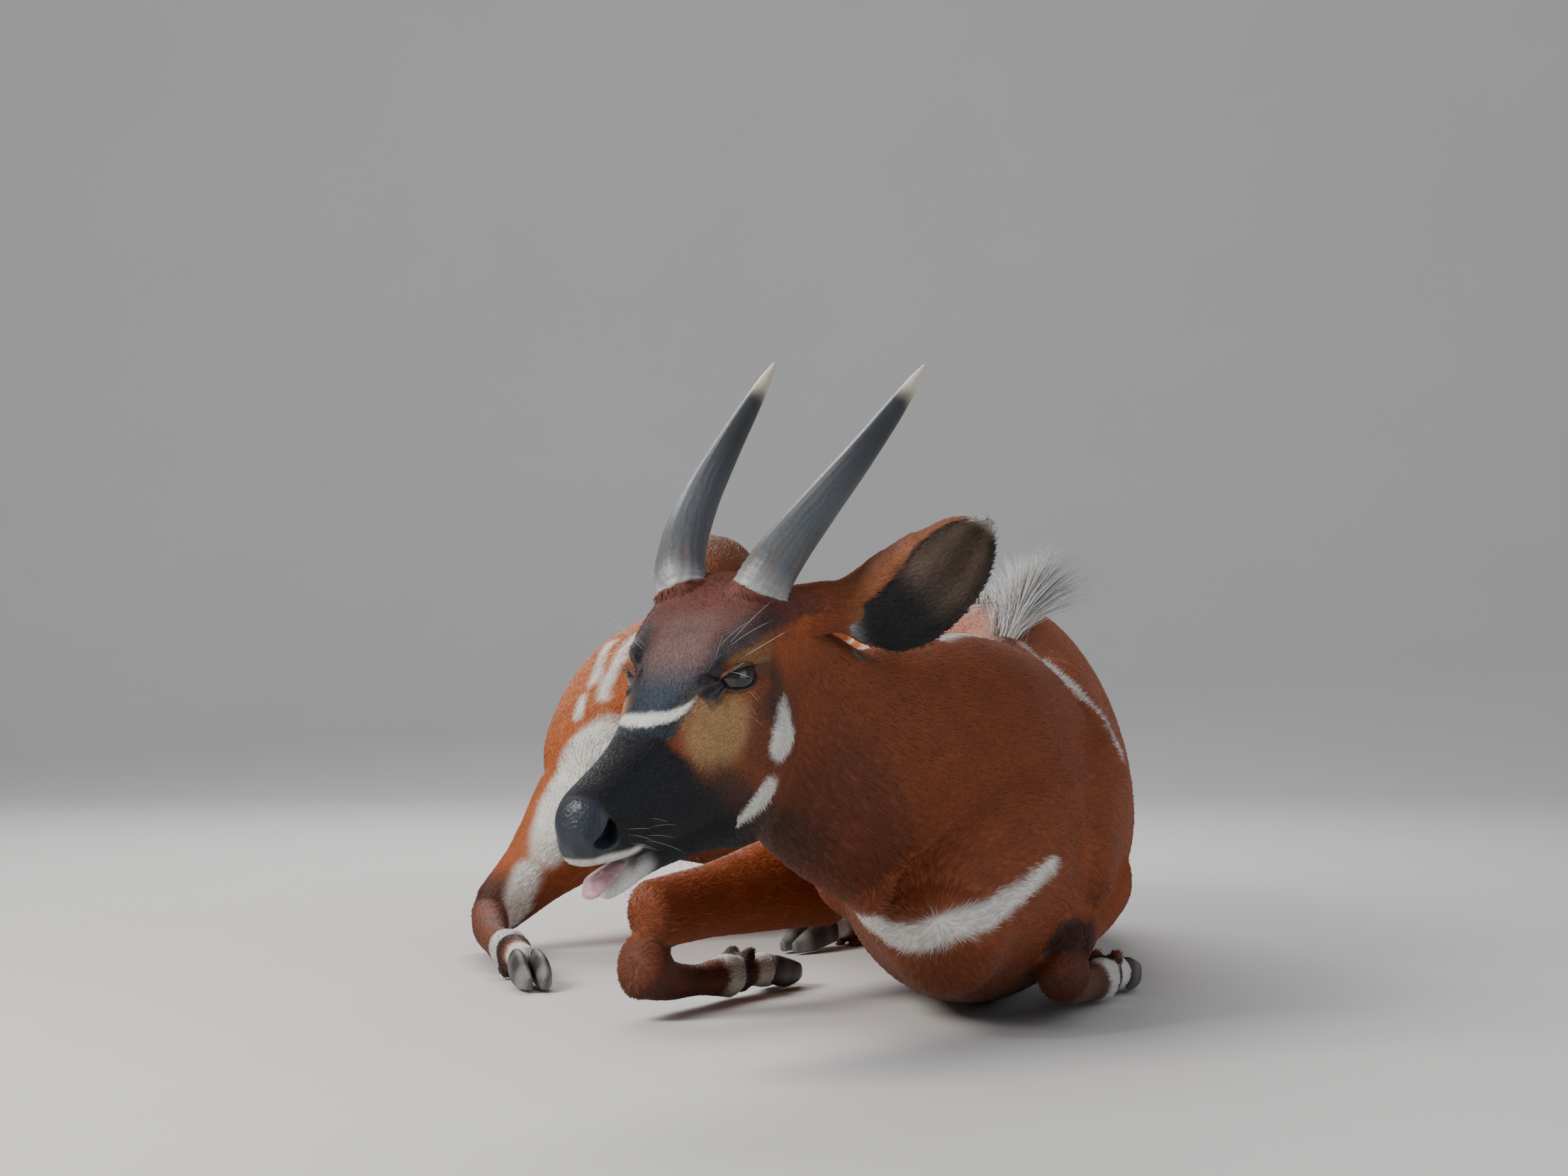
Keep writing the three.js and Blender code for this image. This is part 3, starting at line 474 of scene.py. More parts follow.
def ear_shell(side, grow=0.0, count=26, rows=40):
    """Points and triangles of a curled ear."""
    line, opens, lower = EARS[side]
    shares = np.linspace(0, 1, rows + 1)
    profile = spline(EAR_SECTIONS, shares)
    where = np.clip(profile[:, 0], 0, 1)
    centre = spline(line, where)
    along = unit(spline(line, np.minimum(where + 1e-4, 1)) - spline(line, np.maximum(where - 1e-4, 0)))
    across = unit(np.cross(along, opens))
    back = unit(np.cross(along, across))
    turn = np.linspace(-1, 1, count + 1)
    rings = []
    for row in range(rows + 1):
        radius, wrap = profile[row, 1], math.radians(profile[row, 2])
        thick = min(EAR_THICKNESS, radius * 0.5)
        lobe = ear_lobe(profile[row, 0])

        def arc(size, sign):
            angle = (wrap * sign * turn)[:, None]
            hang = (lower * lobe * np.maximum(sign * turn * lower, 0) ** 2)[:, None]
            run = np.sin(angle) * size + hang
            return centre[row] + back[row] * np.cos(angle) * size + across[row] * run

        rings.append(np.vstack([arc(radius + grow, 1), arc(radius - thick - grow, -1)]))
    rings = np.array(rings)
    points, corners = skin_of_rings(rings, rings[0].mean(0), rings[-1].mean(0))
    return from_head(points), corners


def ear_stub(side, grow=0.0):
    line = np.array(EARS[side][0], float)
    root, following = line[0], line[1]
    stations = []
    for share, wide, high in ((-0.5, 21, 25), (0.15, 21, 26), (0.6, 16, 18)):
        stations.append((*(root + (following - root) * share), wide, high))
    return in_head(stations, grow=grow)


def leg_parts():
    """Each leg's name, part and stations, without its hoof."""
    return [
        (leg, part, stations)
        for leg, parts in LEGS.items()
        for part, stations in parts.items()
        if part != "hoof"
    ]


# Meshes


def new_mesh(name, points, corners):
    """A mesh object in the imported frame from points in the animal's frame."""
    mesh = bpy.data.meshes.new(name)
    mesh.vertices.add(len(points))
    mesh.vertices.foreach_set("co", to_frame(points).astype(np.float32).ravel())
    corners = np.ascontiguousarray(corners, dtype=np.int32)
    mesh.loops.add(corners.size)
    mesh.loops.foreach_set("vertex_index", corners.ravel())
    mesh.polygons.add(len(corners))
    mesh.polygons.foreach_set("loop_start", np.arange(0, corners.size, 3, dtype=np.int32))
    mesh.update(calc_edges=True)
    mesh.validate()
    piece = bpy.data.objects.new(name, mesh)
    bpy.context.scene.collection.objects.link(piece)
    return piece


def select_only(piece):
    bpy.ops.object.select_all(action="DESELECT")
    piece.select_set(True)
    bpy.context.view_layer.objects.active = piece


def apply_modifier(piece, kind, **settings):
    """Adds a modifier to a piece, sets it and applies it."""
    select_only(piece)
    bpy.ops.object.modifier_add(type=kind)
    modifier = piece.modifiers[-1]
    for key, value in settings.items():
        setattr(modifier, key, value)
    bpy.ops.object.modifier_apply(modifier=modifier.name)


def read(items, name, width=1, kind=np.float32):
    """What every item of a mesh says under a name, a row each."""
    values = np.empty(len(items) * width, kind)
    items.foreach_get(name, values)
    return values.reshape(-1, width)


def points_of(piece):
    """A piece's points in the animal's frame, in millimetres."""
    return (read(piece.data.vertices, "co", 3).astype(float) - SHIFT) / MM


def set_points(piece, points):
    piece.data.vertices.foreach_set("co", to_frame(points).astype(np.float32).ravel())
    piece.data.update()


def normals_of(piece):
    return read(piece.data.vertex_normals, "vector", 3).astype(float)


def edges_of(piece):
    return read(piece.data.edges, "vertices", 2, np.int32)


def triangles_of(piece):
    piece.data.calc_loop_triangles()
    return read(piece.data.loop_triangles, "vertices", 3, np.int32)


def loop_points(piece):
    """The point that each loop of a piece's faces stands on."""
    return read(piece.data.loops, "vertex_index", 1, np.int32)[:, 0]


def loop_uv(piece):
    return read(piece.data.uv_layers["OFBake"].data, "uv", 2)


def neighbour_mean(values, pairs, count):
    total = np.zeros((count, values.shape[1]))
    for here, there in ((0, 1), (1, 0)):
        for axis in range(values.shape[1]):
            total[:, axis] += np.bincount(pairs[:, here], values[pairs[:, there], axis], count)
    degree = np.bincount(pairs.ravel(), minlength=count)
    return total / np.maximum(degree, 1)[:, None]


def smoothed(points, pairs, rounds, weight=1.0, keep_volume=True):
    """Points moved towards their neighbours' middle, and back again by as much where the volume is kept."""
    weight = np.broadcast_to(np.asarray(weight, float).reshape(-1, 1), (len(points), 1))
    for turn in range(rounds):
        factor = -0.53 if keep_volume and turn % 2 else 0.5
        points = points + factor * weight * (neighbour_mean(points, pairs, len(points)) - points)
    return points


def smooth_piece(piece, rounds, weight=1.0, keep_volume=True):
    set_points(piece, smoothed(points_of(piece), edges_of(piece), rounds, weight, keep_volume))


def shade_smooth(piece):
    piece.data.polygons.foreach_set("use_smooth", np.ones(len(piece.data.polygons), bool))
    piece.data.update()


VALUE_FIELDS = {"FLOAT": "value", "FLOAT_VECTOR": "vector", "FLOAT_COLOR": "color", "INT": "value"}


def store(piece, name, kind, values):
    """Keeps values at a piece's points as a mesh attribute."""
    attribute = piece.data.attributes.get(name) or piece.data.attributes.new(name, kind, "POINT")
    values = np.asarray(values)
    if kind == "FLOAT_COLOR" and values.shape[1] == 3:
        values = np.hstack([values, np.ones((len(values), 1))])
    values = values.astype(np.int32 if kind == "INT" else np.float32)
    attribute.data.foreach_set(VALUE_FIELDS[kind], values.ravel())


def stored(piece, name, width=1):
    """A mesh attribute's values at a piece's points."""
    attribute = piece.data.attributes[name]
    kind = np.int32 if attribute.data_type == "INT" else np.float32
    values = read(attribute.data, VALUE_FIELDS[attribute.data_type], width, kind)
    return values[:, 0] if width == 1 else values


def store_tint(piece, tint):
    """Keeps the colour of a piece's points."""
    store(piece, "tint", "FLOAT_COLOR", np.clip(tint, 0, 1))


# Soft masks, in millimetres


def fade(values, start, end):
    """0 before start, 1 after end and smooth between them."""
    share = np.clip((np.asarray(values, float) - start) / (end - start), 0, 1)
    return share * share * (3 - 2 * share)


def bell(values, middle, width):
    """1 at the middle, falling softly to 0 over about that width."""
    return np.exp(-(((values - middle) / width) ** 2))


def distance_to_line(points, line):
    """The distance of each point to a line through given points."""
    best = np.full(len(points), np.inf)
    line = np.asarray(line, float)
    for start, end in zip(line[:-1], line[1:]):
        way = end - start
        share = np.clip(((points - start) @ way) / (way @ way), 0, 1)
        best = np.minimum(best, np.linalg.norm(points - start - share[:, None] * way, axis=1))
    return best


def blob(points, centre, radii):
    """1 at a centre, falling to 0 outside an ellipsoid of about those radii."""
    return np.exp(-(((points - np.asarray(centre, float)) / radii) ** 2).sum(1))


def both_sides(points):
    """Points of the head folded onto its left side."""
    return points * (1, 0, 1) + np.abs(points) * (0, 1, 0)


# Skin

# The opening of the lids along the eyeball's surface, its tilt in degrees, how thick the lids are, how far
# they reach and how far round the eye their colours go
LID = {
    "long": 47.0,
    "above": 8.6,
    "below": 7.0,
    "tilt": -7.0,
    "thickness": 2.3,
    "reach": 13.0,
    "near": 50.0,
}


def eye_axes(side):
    """The eye's directions on one side of the head: towards the nose, up and out."""
    out = unit(other_side(EYE_LOOKS, side))
    tilt = math.radians(LID["tilt"])
    up = np.array((math.sin(tilt), 0, math.cos(tilt)))
    ahead = unit(np.cross(out, up)) * -side
    if ahead[0] < 0:
        ahead = -ahead
    above = unit(np.cross(ahead, out))
    if above[2] < 0:
        above = -above
    return ahead, above, out


def lid_place(points, side):
    """How far points of the head lie outside the opening of the lids, and their places round it.

    The places are lengths along the eyeball's own surface, from the middle of the cornea.
    """
    ahead, above, out = eye_axes(side)
    away = points - other_side(EYE_AT, side)
    n = away @ out
    flat = np.stack([away @ ahead, away @ above], 1)
    arc = BALL_RADIUS * np.arctan2(np.linalg.norm(flat, axis=1), n)
    a, b = (unit(flat) * arc[:, None]).T
    half = LID["long"] / 2
    share = np.clip(a / half, -1, 1)
    arch = np.sqrt(np.maximum(1 - share**2, 0)) * (1 - 0.12 * np.abs(share))
    height = np.where(b > 0, LID["above"] * (1 + 0.12 * share), LID["below"]) * arch
    outside = np.where(np.abs(a) <= half, np.abs(b) - height, np.hypot(np.abs(a) - half, b))
    return outside, a, b, n


def by_eye(points, side, n):
    """Whether points of the head are round an eye and not behind it."""
    distance = np.linalg.norm(points - other_side(EYE_AT, side), axis=1)
    return (n > -6) & (distance < LID["near"])


def shape_lids(points, side):
    """Draws the skin round the eyeball into two lids."""
    outside, _, b, _ = lid_place(points, side)
    middle = other_side(EYE_AT, side)
    away = points - middle
    distance = np.linalg.norm(away, axis=1)
    rim = BALL_RADIUS - 2.2 + (LID["thickness"] + 2.2) * fade(outside, -0.6, 1.6)
    edge = 0.6 * bell(outside, 2.4, 1.7)
    upper_fold = -1.3 * bell(outside, 6.6, 1.5) * fade(b, -2, 3)
    lower_fold = -0.8 * bell(outside, 5.8, 1.4) * fade(-b, -2, 3)
    second_fold = -0.5 * bell(outside, 9.6, 1.5) * fade(-b, -2, 3)
    target = rim + edge + upper_fold + lower_fold + second_fold
    hold = np.where(distance < 40, 1 - fade(outside, 7.5, LID["reach"]), 0)
    radius = distance * (1 - hold) + target * hold
    return middle + away / np.maximum(distance, 1e-6)[:, None] * radius[:, None]


def ridge(points, line, width):
    """1 on a line, falling softly to 0 over about that width."""
    return bell(distance_to_line(points, line), 0, width)


def relief(raised, points, rows):
    """Adds rows of bumps and ridges, each a height, a middle or a line, and its radii or its width."""
    for height, place, size in rows:
        shape = blob if np.ndim(place) == 1 else ridge
        raised = raised + height * shape(points, place, size)
    return raised


# Brows, cheekbones, jaw muscle and creases
FACE_RELIEF = (
    (1.6, (86, 48, 30), (28, 12, 10)),
    (2.6, (62, 55, -84), (36, 30, 34)),
    (1.6, ((118, 54, -34), (160, 45, -42), (205, 36, -46)), 8),
    (-1.8, (62, 62, 6), (18, 20, 14)),
    (-0.7, ((117, 56, 5), (131, 49, 4), (146, 39, 1)), 3.0),
    (-1.6, ((150, 40, -58), (200, 34, -62), (246, 31, -66)), 11),
    (1.0, ((170, 42, -40), (196, 38, -64), (216, 32, -84)), 2.6),
    (0.8, ((96, 60, -46), (130, 52, -62), (168, 42, -74)), 2.4),
    (-1.2, ((0, 0, 54), (70, 0, 33), (130, 0, 14)), 5),
    (1.2, (30, 22, 50), (26, 12, 14)),
)

# The line behind the corner of the mouth, lips, the nostrils' wings and the groove under the nose
MOUTH_RELIEF = (
    (-2.4, ((270, 29, -85), (258, 32, -89), (244, 34, -93)), 2.0),
    (1.3, ((276, 28, -70), (296, 28, -64), (314, 23, -60), (328, 12, -58)), 4.5),
    (1.6, ((306, 34, -24), (300, 35, -36), (308, 32, -46)), 5),
    (1.2, ((326, 24, -20), (334, 14, -30)), 6),
    (-1.3, ((338, 0, -36), (338, 0, -60)), 1.6),
)

NOSTRIL = {"at": (317, 27, -37), "long": 14.5, "high": 9.0, "deep": 16.0, "tilt": 30.0}


def sink_nostrils(points):
    """Pushes the skin in at the two nostrils, each a comma that opens to the side."""
    for side in (1, -1):
        inward = unit(other_side((-0.62, -0.72, 0.1), side))
        tilt = math.radians(NOSTRIL["tilt"])
        long_way = other_side((-0.6 * math.cos(tilt), 0.7 * math.cos(tilt), math.sin(tilt)), side)
        long_way = unit(long_way - inward * (long_way @ inward))
        high_way = np.cross(inward, long_way)
        away = points - other_side(NOSTRIL["at"], side)
        a = away @ long_way
        b = away @ high_way + 0.035 * a**2 - 1.5
        ring = np.sqrt((a / NOSTRIL["long"]) ** 2 + (b / NOSTRIL["high"]) ** 2)
        inside = 1 - fade(ring, 0.45, 1.05)
        near = (np.abs(away @ inward) < 16) & (points[:, 1] * side > 2)
        points = points + (inside * near * NOSTRIL["deep"])[:, None] * inward
    return points


def refine(piece, centres, radius):
    """Divides the faces within a radius, in millimetres, of some centres of the head."""
    mesh = bmesh.new()
    mesh.from_mesh(piece.data)
    mesh.verts.ensure_lookup_table()
    places = to_head(points_of(piece))
    near = np.zeros(len(places), bool)
    for centre in centres:
        near |= np.linalg.norm(places - np.asarray(centre, float), axis=1) < radius
    edges = [edge for edge in mesh.edges if near[edge.verts[0].index] and near[edge.verts[1].index]]
    bmesh.ops.subdivide_edges(mesh, edges=edges, cuts=1, use_grid_fill=True)
    bmesh.ops.triangulate(mesh, faces=[face for face in mesh.faces if len(face.verts) > 3])
    mesh.to_mesh(piece.data)
    mesh.free()


def mouth_cutter():
    """The wedge between the lips, as points and triangles."""
    (cx, cz), (ux, uz), (lx, lz) = MOUTH["corner"], MOUTH["upper"], MOUTH["lower"]
    outline = [(cx, cz), (ux + 20, uz), (lx + 20, lz)]
    points = [(x, y, z) for y in (-80, 80) for x, z in outline]
    corners = [(0, 1, 2), (3, 5, 4), (0, 3, 4), (0, 4, 1), (1, 4, 5), (1, 5, 2), (2, 5, 3), (2, 3, 0)]
    return from_head(points), np.array(corners)


def thin_out(piece, ratio):
    """Takes faces away from a closed piece, with a little more kept each time that this opens it."""
    whole = piece.data.copy()
    for extra in range(8):
        apply_modifier(piece, "DECIMATE", ratio=ratio + 0.02 * extra)
        mesh = bmesh.new()
        mesh.from_mesh(piece.data)
        closed = all(len(edge.link_faces) == 2 for edge in mesh.edges)
        mesh.free()
        if closed:
            return
        piece.data = whole.copy()
    raise RuntimeError(f"{piece.name} can't be thinned out")


# Each part of the skin: the size of its voxels, its rounds of smoothing and the share of its faces kept
SKIN_GRAIN = {"skin": (4.6, 14, 0.25), "head_form": (2.5, 6, 0.4), "ear_form": (1.7, 4, 0.28)}


def fine_form(name, shapes):
    """One closed surface round several shapes."""
    voxel, rounds, kept = SKIN_GRAIN[name]
    piece = new_mesh(name, *merged(shapes))
    apply_modifier(piece, "REMESH", mode="VOXEL", voxel_size=voxel * MM)
    smooth_piece(piece, rounds)
    thin_out(piece, kept)
    return piece


def combine(piece, other, operation):
    """Joins another closed piece to a piece, or cuts it away, and removes the other."""
    apply_modifier(piece, "BOOLEAN", operation=operation, object=other, solver="MANIFOLD")
    bpy.data.objects.remove(other)


def body_form():
    body, leg = -COAT_DEPTH["body"], -COAT_DEPTH["leg"]
    shapes = [form(TRUNK, sides=72, steps=8, round_end=0.6, grow=body)]
    shapes += [form(part, sides=40, round_end=0.7, grow=body) for part in (SHOULDER_LEFT, SHOULDER_RIGHT)]
    shapes.append(form(NECK, sides=64, steps=8, round_end=0.4, grow=body))
    for _, part, stations in leg_parts():
        shapes.append(form(stations, sides=40, round_end=0.6, grow=body if part == "thigh" else leg))
    shapes.append(form(TAIL, sides=24, grow=leg))
    shapes += [dewclaw for name in LEGS for dewclaw in dewclaws(name)]
    return fine_form("skin", shapes)


def dewclaws(leg):
    """Two blunt cones behind a fetlock."""
    pastern, (_, _, turn) = LEGS[leg]["pastern"], LEGS[leg]["hoof"]
    centre, along, side, top, size, _ = (values[0] for values in sections(pastern, (0.0, 1.0)))
    shapes = []
    for way in (-1, 1):
        root = centre + side * way * 11 - top * turn * size[1] * 0.55
        tip = root + along * 17 - top * turn * 13
        stations = []
        for share, radius in ((0, 7.5), (0.6, 6.5), (1, 3.5)):
            stations.append((*(root + (tip - root) * share), radius, radius))
        shapes.append(form(stations, sides=12, steps=3))
    return shapes


def ball(radius, rows, columns):
    """A sphere round its centre with its poles along X."""
    tilt = np.linspace(0, math.pi, rows + 1)[1:-1, None]
    turn = np.arange(columns) / columns * math.tau
    across = np.stack([np.zeros(columns), np.cos(turn), np.sin(turn)], 1)
    rings = np.cos(tilt)[..., None] * (1, 0, 0) + np.sin(tilt)[..., None] * across
    points, corners = skin_of_rings(rings * radius, (radius, 0, 0), (-radius, 0, 0))
    return points, corners[:, ::-1]


def ellipsoid(middle, radii):
    """Points and triangles of an ellipsoid of the head."""
    points, corners = ball(1.0, 24, 32)
    return from_head(points * radii + middle), corners


def head_form():
    inset = -COAT_DEPTH["head"]
    shapes = [skull(inset), in_head(LOWER_JAW, grow=inset)]
    for side in (1, -1):
        shapes.append(pedicel(side, inset))
        shapes.append(ellipsoid(other_side(EYE_AT, side), BALL_RADIUS + LID["thickness"]))
        shapes.append(ellipsoid((88, 48 * side, 24), (35, 13, 9)))
    piece = fine_form("head_form", shapes)
    combine(piece, new_mesh("wedge", *mouth_cutter()), "DIFFERENCE")
    return piece


def ear_form(side):
    inset = -COAT_DEPTH["ear"]
    return fine_form("ear_form", [ear_shell(side, inset, 48, 80), ear_stub(side, inset)])


# The least height of the skin and of the coat over the floor
SKIN_LOWEST = 0.6
COAT_LOWEST = 0.2


def build_skin():
    """The whole animal's skin as one closed mesh, with its relief, lie of hair and markings."""
    skin = body_form()
    head = head_form()
    for side in (1, -1):
        combine(head, ear_form(side), "UNION")
    combine(skin, head, "UNION")
    apply_modifier(skin, "TRIANGULATE")

    eyes = [other_side(EYE_AT, side) + unit(other_side(EYE_LOOKS, side)) * BALL_RADIUS for side in (1, -1)]
    nostrils = [other_side(NOSTRIL["at"], side) for side in (1, -1)]
    refine(skin, eyes, 40)
    refine(skin, nostrils + [(276, 28, -76), (276, -28, -76), (330, 0, -45)], 26)
    refine(skin, eyes, 29)
    refine(skin, nostrils, 14)

    blend_seams(skin)
    points = points_of(skin)
    head_places = to_head(points)
    normals = normals_of(skin) @ HEAD_AXES
    on_head = head_mask(head_places, -250, -60)
    folded = both_sides(head_places)
    raised = (relief(0, folded, FACE_RELIEF) + relief(0, folded, MOUTH_RELIEF)) * on_head
    head_places = head_places + normals * raised[:, None]
    head_places = sink_nostrils(head_places)
    for side in (1, -1):
        head_places = shape_lids(head_places, side)
    points = np.where(on_head[:, None] > 0.01, from_head(head_places), points)
    points = points + normals_of(skin) * (body_relief(points) * (1 - on_head))[:, None]
    points[:, 2] = np.maximum(points[:, 2], SKIN_LOWEST)
    set_points(skin, points)
    return skin


HEAD_MIDDLE = (120, 0, -40)
HEAD_REACH = 330


def head_mask(places, start, end):
    """1 on the head and its ears and 0 on the neck and body, with a soft edge from start to end."""
    return fade(places[:, 0], start, end) * (np.linalg.norm(places - HEAD_MIDDLE, axis=1) < HEAD_REACH)


def blend_seams(skin):
    """Softens the places where the head and the ears meet what they grow from."""
    points = points_of(skin)
    places = to_head(points)
    seam = np.zeros(len(points))
    behind = (places[:, 0] < 40) & (places[:, 0] > -110) & (np.abs(places[:, 1]) < 100)
    seam[behind] = fade(-places[behind, 0], -30, 10) * fade(places[behind, 0], -110, -80)
    for side in (1, -1):
        root = np.array(EARS[side][0][0], float) * (1, 0.95, 1)
        seam = np.maximum(seam, 1.4 * blob(places, root, 30) * (blob(places, root, 34) > 0.25))
    for side in (1, -1):
        foot = horn_points(side)[0]
        seam = np.maximum(seam, 0.9 * fade(blob(places, foot, 34), 0.25, 0.45))
    seam = np.clip(seam, 0, 1) * (1 - (distance_to_line(places, EARS[1][0][1:]) < 34))
    seam = seam * (1 - (distance_to_line(places, EARS[-1][0][1:]) < 34))
    smooth_piece(skin, 30, seam, keep_volume=False)
    smooth_piece(skin, 4)
    places = to_head(points_of(skin))
    for side in (1, -1):
        line = bezier(horn_points(side), np.linspace(0, 0.2, 60))
        line = np.vstack([line[0] - unit(line[1] - line[0]) * np.linspace(20, 1, 10)[:, None], line])
        nearest = np.linalg.norm(places[:, None] - line[None], axis=2).argmin(1)
        away = places - line[nearest]
        distance = np.linalg.norm(away, axis=1)
        height = (line[nearest] - line[10]) @ unit(line[11] - line[10])
        least = HORN_BASE_RADIUS + 2.0 - 1.4 * fade(height, -4, PEDICEL_HEIGHT)
        push = (height > -19) & (height < PEDICEL_HEIGHT) & (distance > 12) & (distance < least)
        places[push] = line[nearest[push]] + unit(away[push]) * least[push][:, None]
    set_points(skin, from_head(places))


RIB_SPACING = 34.0

# Shoulder blade, hip and the folds of the neck
BODY_RELIEF = (
    (5.0, ((300, -40, 330), (345, -130, 240), (330, -220, 170)), 34),
    (-3.0, ((250, 10, 395), (352, -10, 270), (378, -60, 160)), 26),
    (5.0, (40, 620, 430), (60, 60, 40)),
    (-4.0, (-30, 470, 330), (50, 60, 60)),
    (-3.0, ((-20, -470, 225), (10, -486, 190), (50, -490, 150)), 8.0),
    (-2.0, ((30, -440, 340), (66, -500, 262), (92, -520, 190)), 12.0),
    (-2.5, ((120, -330, 384), (150, -420, 300), (160, -470, 220)), 18.0),
)


def body_relief(points):
    """How far points of the body are raised."""
    _, y, z = points.T
    ribs = 1.1 * np.sin(y / RIB_SPACING * math.tau + 0.006 * z) * fade(y, 20, 90) * fade(-y, -420, -330)
    ribs *= fade(z, 120, 190) * fade(-z, -390, -330)
    return relief(ribs, points, BODY_RELIEF)


# Lie of the coat


def guide(name, centre, along, radius, drop=0.0):
    """Places along a form, each with its name, radius, share of the way and the way that its hair lies."""
    lies = unit(along + np.array((0, 0, -drop)))
    shares = np.linspace(0, 1, len(centre))
    return {"name": [name] * len(centre), "centre": centre, "lies": lies, "radius": radius, "share": shares}


def form_guide(name, stations, drop=0.0, count=40):
    centre, along, _, _, size, _ = sections(stations, np.linspace(0, 1, count))
    return guide(name, centre, along, size.mean(1), drop)


def head_guide(name, line, radius, count=24):
    shares = np.linspace(0, 1, count)
    centre = from_head(spline(line, shares))
    along = unit(np.gradient(centre, axis=0))
    return guide(name, centre, along, np.full(count, float(radius)))


def all_guides():
    guides = [form_guide("trunk", TRUNK, 0.4), form_guide("neck", NECK, 0.25), form_guide("tail", TAIL)]
    guides += [form_guide(f"{leg}_{part}", stations) for leg, part, stations in leg_parts()]
    guides.append(head_guide("head", ((338, 0, -46), (240, 0, -44), (120, 0, -52), (-40, 0, -60)), 52))
    for side, name in ((1, "ear_left"), (-1, "ear_right")):
        line, opens, lower = EARS[side]
        guides.append(head_guide(name, line, 34))
        lobe = unit(np.cross(np.subtract(line[3], line[0]), opens)) * lower * 40
        lobe_line = np.array(line)[1:] * (0.9, 0.9, 0.9) + np.array(line[0]) * 0.1 + lobe
        guides.append(head_guide(name, lobe_line, 40))
    return {key: np.concatenate([entry[key] for entry in guides]) for key in guides[0]}


def follow_guides(points, guides, block=12000):
    """The name of the form nearest to each point, its share along that form and the lie of its hair."""
    names, shares, lies = [], [], []
    for start in range(0, len(points), block):
        part = points[start : start + block]
        gap = np.linalg.norm(part[:, None] - guides["centre"][None], axis=2) / guides["radius"]
        nearest = gap.argmin(1)
        weight = np.exp(-4 * (gap**2 - gap.min(1)[:, None] ** 2))
        names.append(guides["name"][nearest])
        shares.append(guides["share"][nearest])
        lies.append(weight @ guides["lies"])
    return np.concatenate(names), np.concatenate(shares), unit(np.vstack(lies))


def lie_along(lies, normals):
    """Directions turned into the plane of the surface."""
    return unit(lies - normals * (lies * normals).sum(1)[:, None])


# Markings, with painted light and shade on the body and in the ears


def linear(red, green, blue):
    """A colour of a screen, 0 to 255, as light."""
    values = np.array((red, green, blue)) / 255
    light = np.where(values <= 0.04045, values / 12.92, ((values + 0.055) / 1.055) ** 2.4)
    return tuple(float(value) for value in light)


def plain(colour, points):
    """One colour at every point."""
    return np.tile(np.asarray(colour)[:3], (len(points), 1))


def paint(tint, colour, mask):
    """A tint with a colour laid over it where the mask is."""
    return tint + np.clip(mask, 0, 1)[:, None] * (np.asarray(colour)[:3] - tint)


def painted(tint, colours, layers):
    """A tint with layers laid over it in turn, each a colour's name and a mask."""
    for name, mask in layers:
        tint = paint(tint, getattr(colours, name), mask)
    return tint


def waver(points, length, seed=0.0):
    """A smooth value from -1 to 1 that wanders over that length, in millimetres."""
    x, y, z = (points / length * math.tau).T
    first = np.sin(x + 1.7 * np.sin(0.8 * y + seed) + seed) + np.sin(y * 1.1 + 1.3 * np.sin(z + 2 * seed))
    return (first + np.sin(z * 0.9 + 1.5 * np.sin(0.7 * x + 3 * seed) + 1)) / 3


def near_line(points, line, width, soft=0.35):
    """1 on a line and 0 beyond its width."""
    return 1 - fade(distance_to_line(points, line), width * (1 - soft), width * (1 + soft))


# The white chevron over the nasal bridge: how far forward its middle is, how far back its left and right
# ends run and how they curve, its half width and where it ends to each side
CHEVRON = {"front": 183.0, "back": (24.0, 9.0), "curve": 2.4, "across": 30.0, "half": 9.5, "end": 33.0}

# Heights on the face, and how far forward the dark muzzle begins at each
MUZZLE_EDGE = ((-175, -150, -125, -103, -73, -44, -14, 0), (64, 80, 110, 128, 152, 181, 199, 199))

# The edge of the dark forehead, from behind the eye to the chevron
FOREHEAD_EDGE = np.array(
    [
        (-40.0, 58.0, 2.0),
        (-9, 59, 11),
        (33, 60, 25),
        (64, 54, 27),
        (107, 46, 27),
        (135, 40, 14),
        (165, 29, 0),
        (182, 22, -6),
    ]
)

# White spots of the cheek: two ends and the radius at each
UPPER_SPOT = ((49, 60, -42), (59, 54, -78), 3.5, 22.0)
LOWER_SPOT = ((84, 43, -124), (118, 30, -137), 17.0, 8.0)

# Lines of the face: the ridge of the forehead, the dark corner of the eye and the dark patch behind it
FOREHEAD_RIDGE = ((30, 30, 58), (84, 34, 44), (120, 38, 26))
EYE_CORNER = ((116, 56, 5), (126, 51, 4), (136, 46, 2))
BEHIND_EYE = ((74, 62, 0), (56, 64, -4), (52, 62, -22), (66, 58, -46))


def tapered(points, line_start, line_end, start_radius, end_radius):
    """How far points lie outside a rounded spot that widens from one end to the other."""
    start, end = np.array(line_start, float), np.array(line_end, float)
    way = end - start
    share = np.clip(((points - start) @ way) / (way @ way), 0, 1)
    radius = start_radius + (end_radius - start_radius) * share
    return np.linalg.norm(points - start - share[:, None] * way, axis=1) - radius


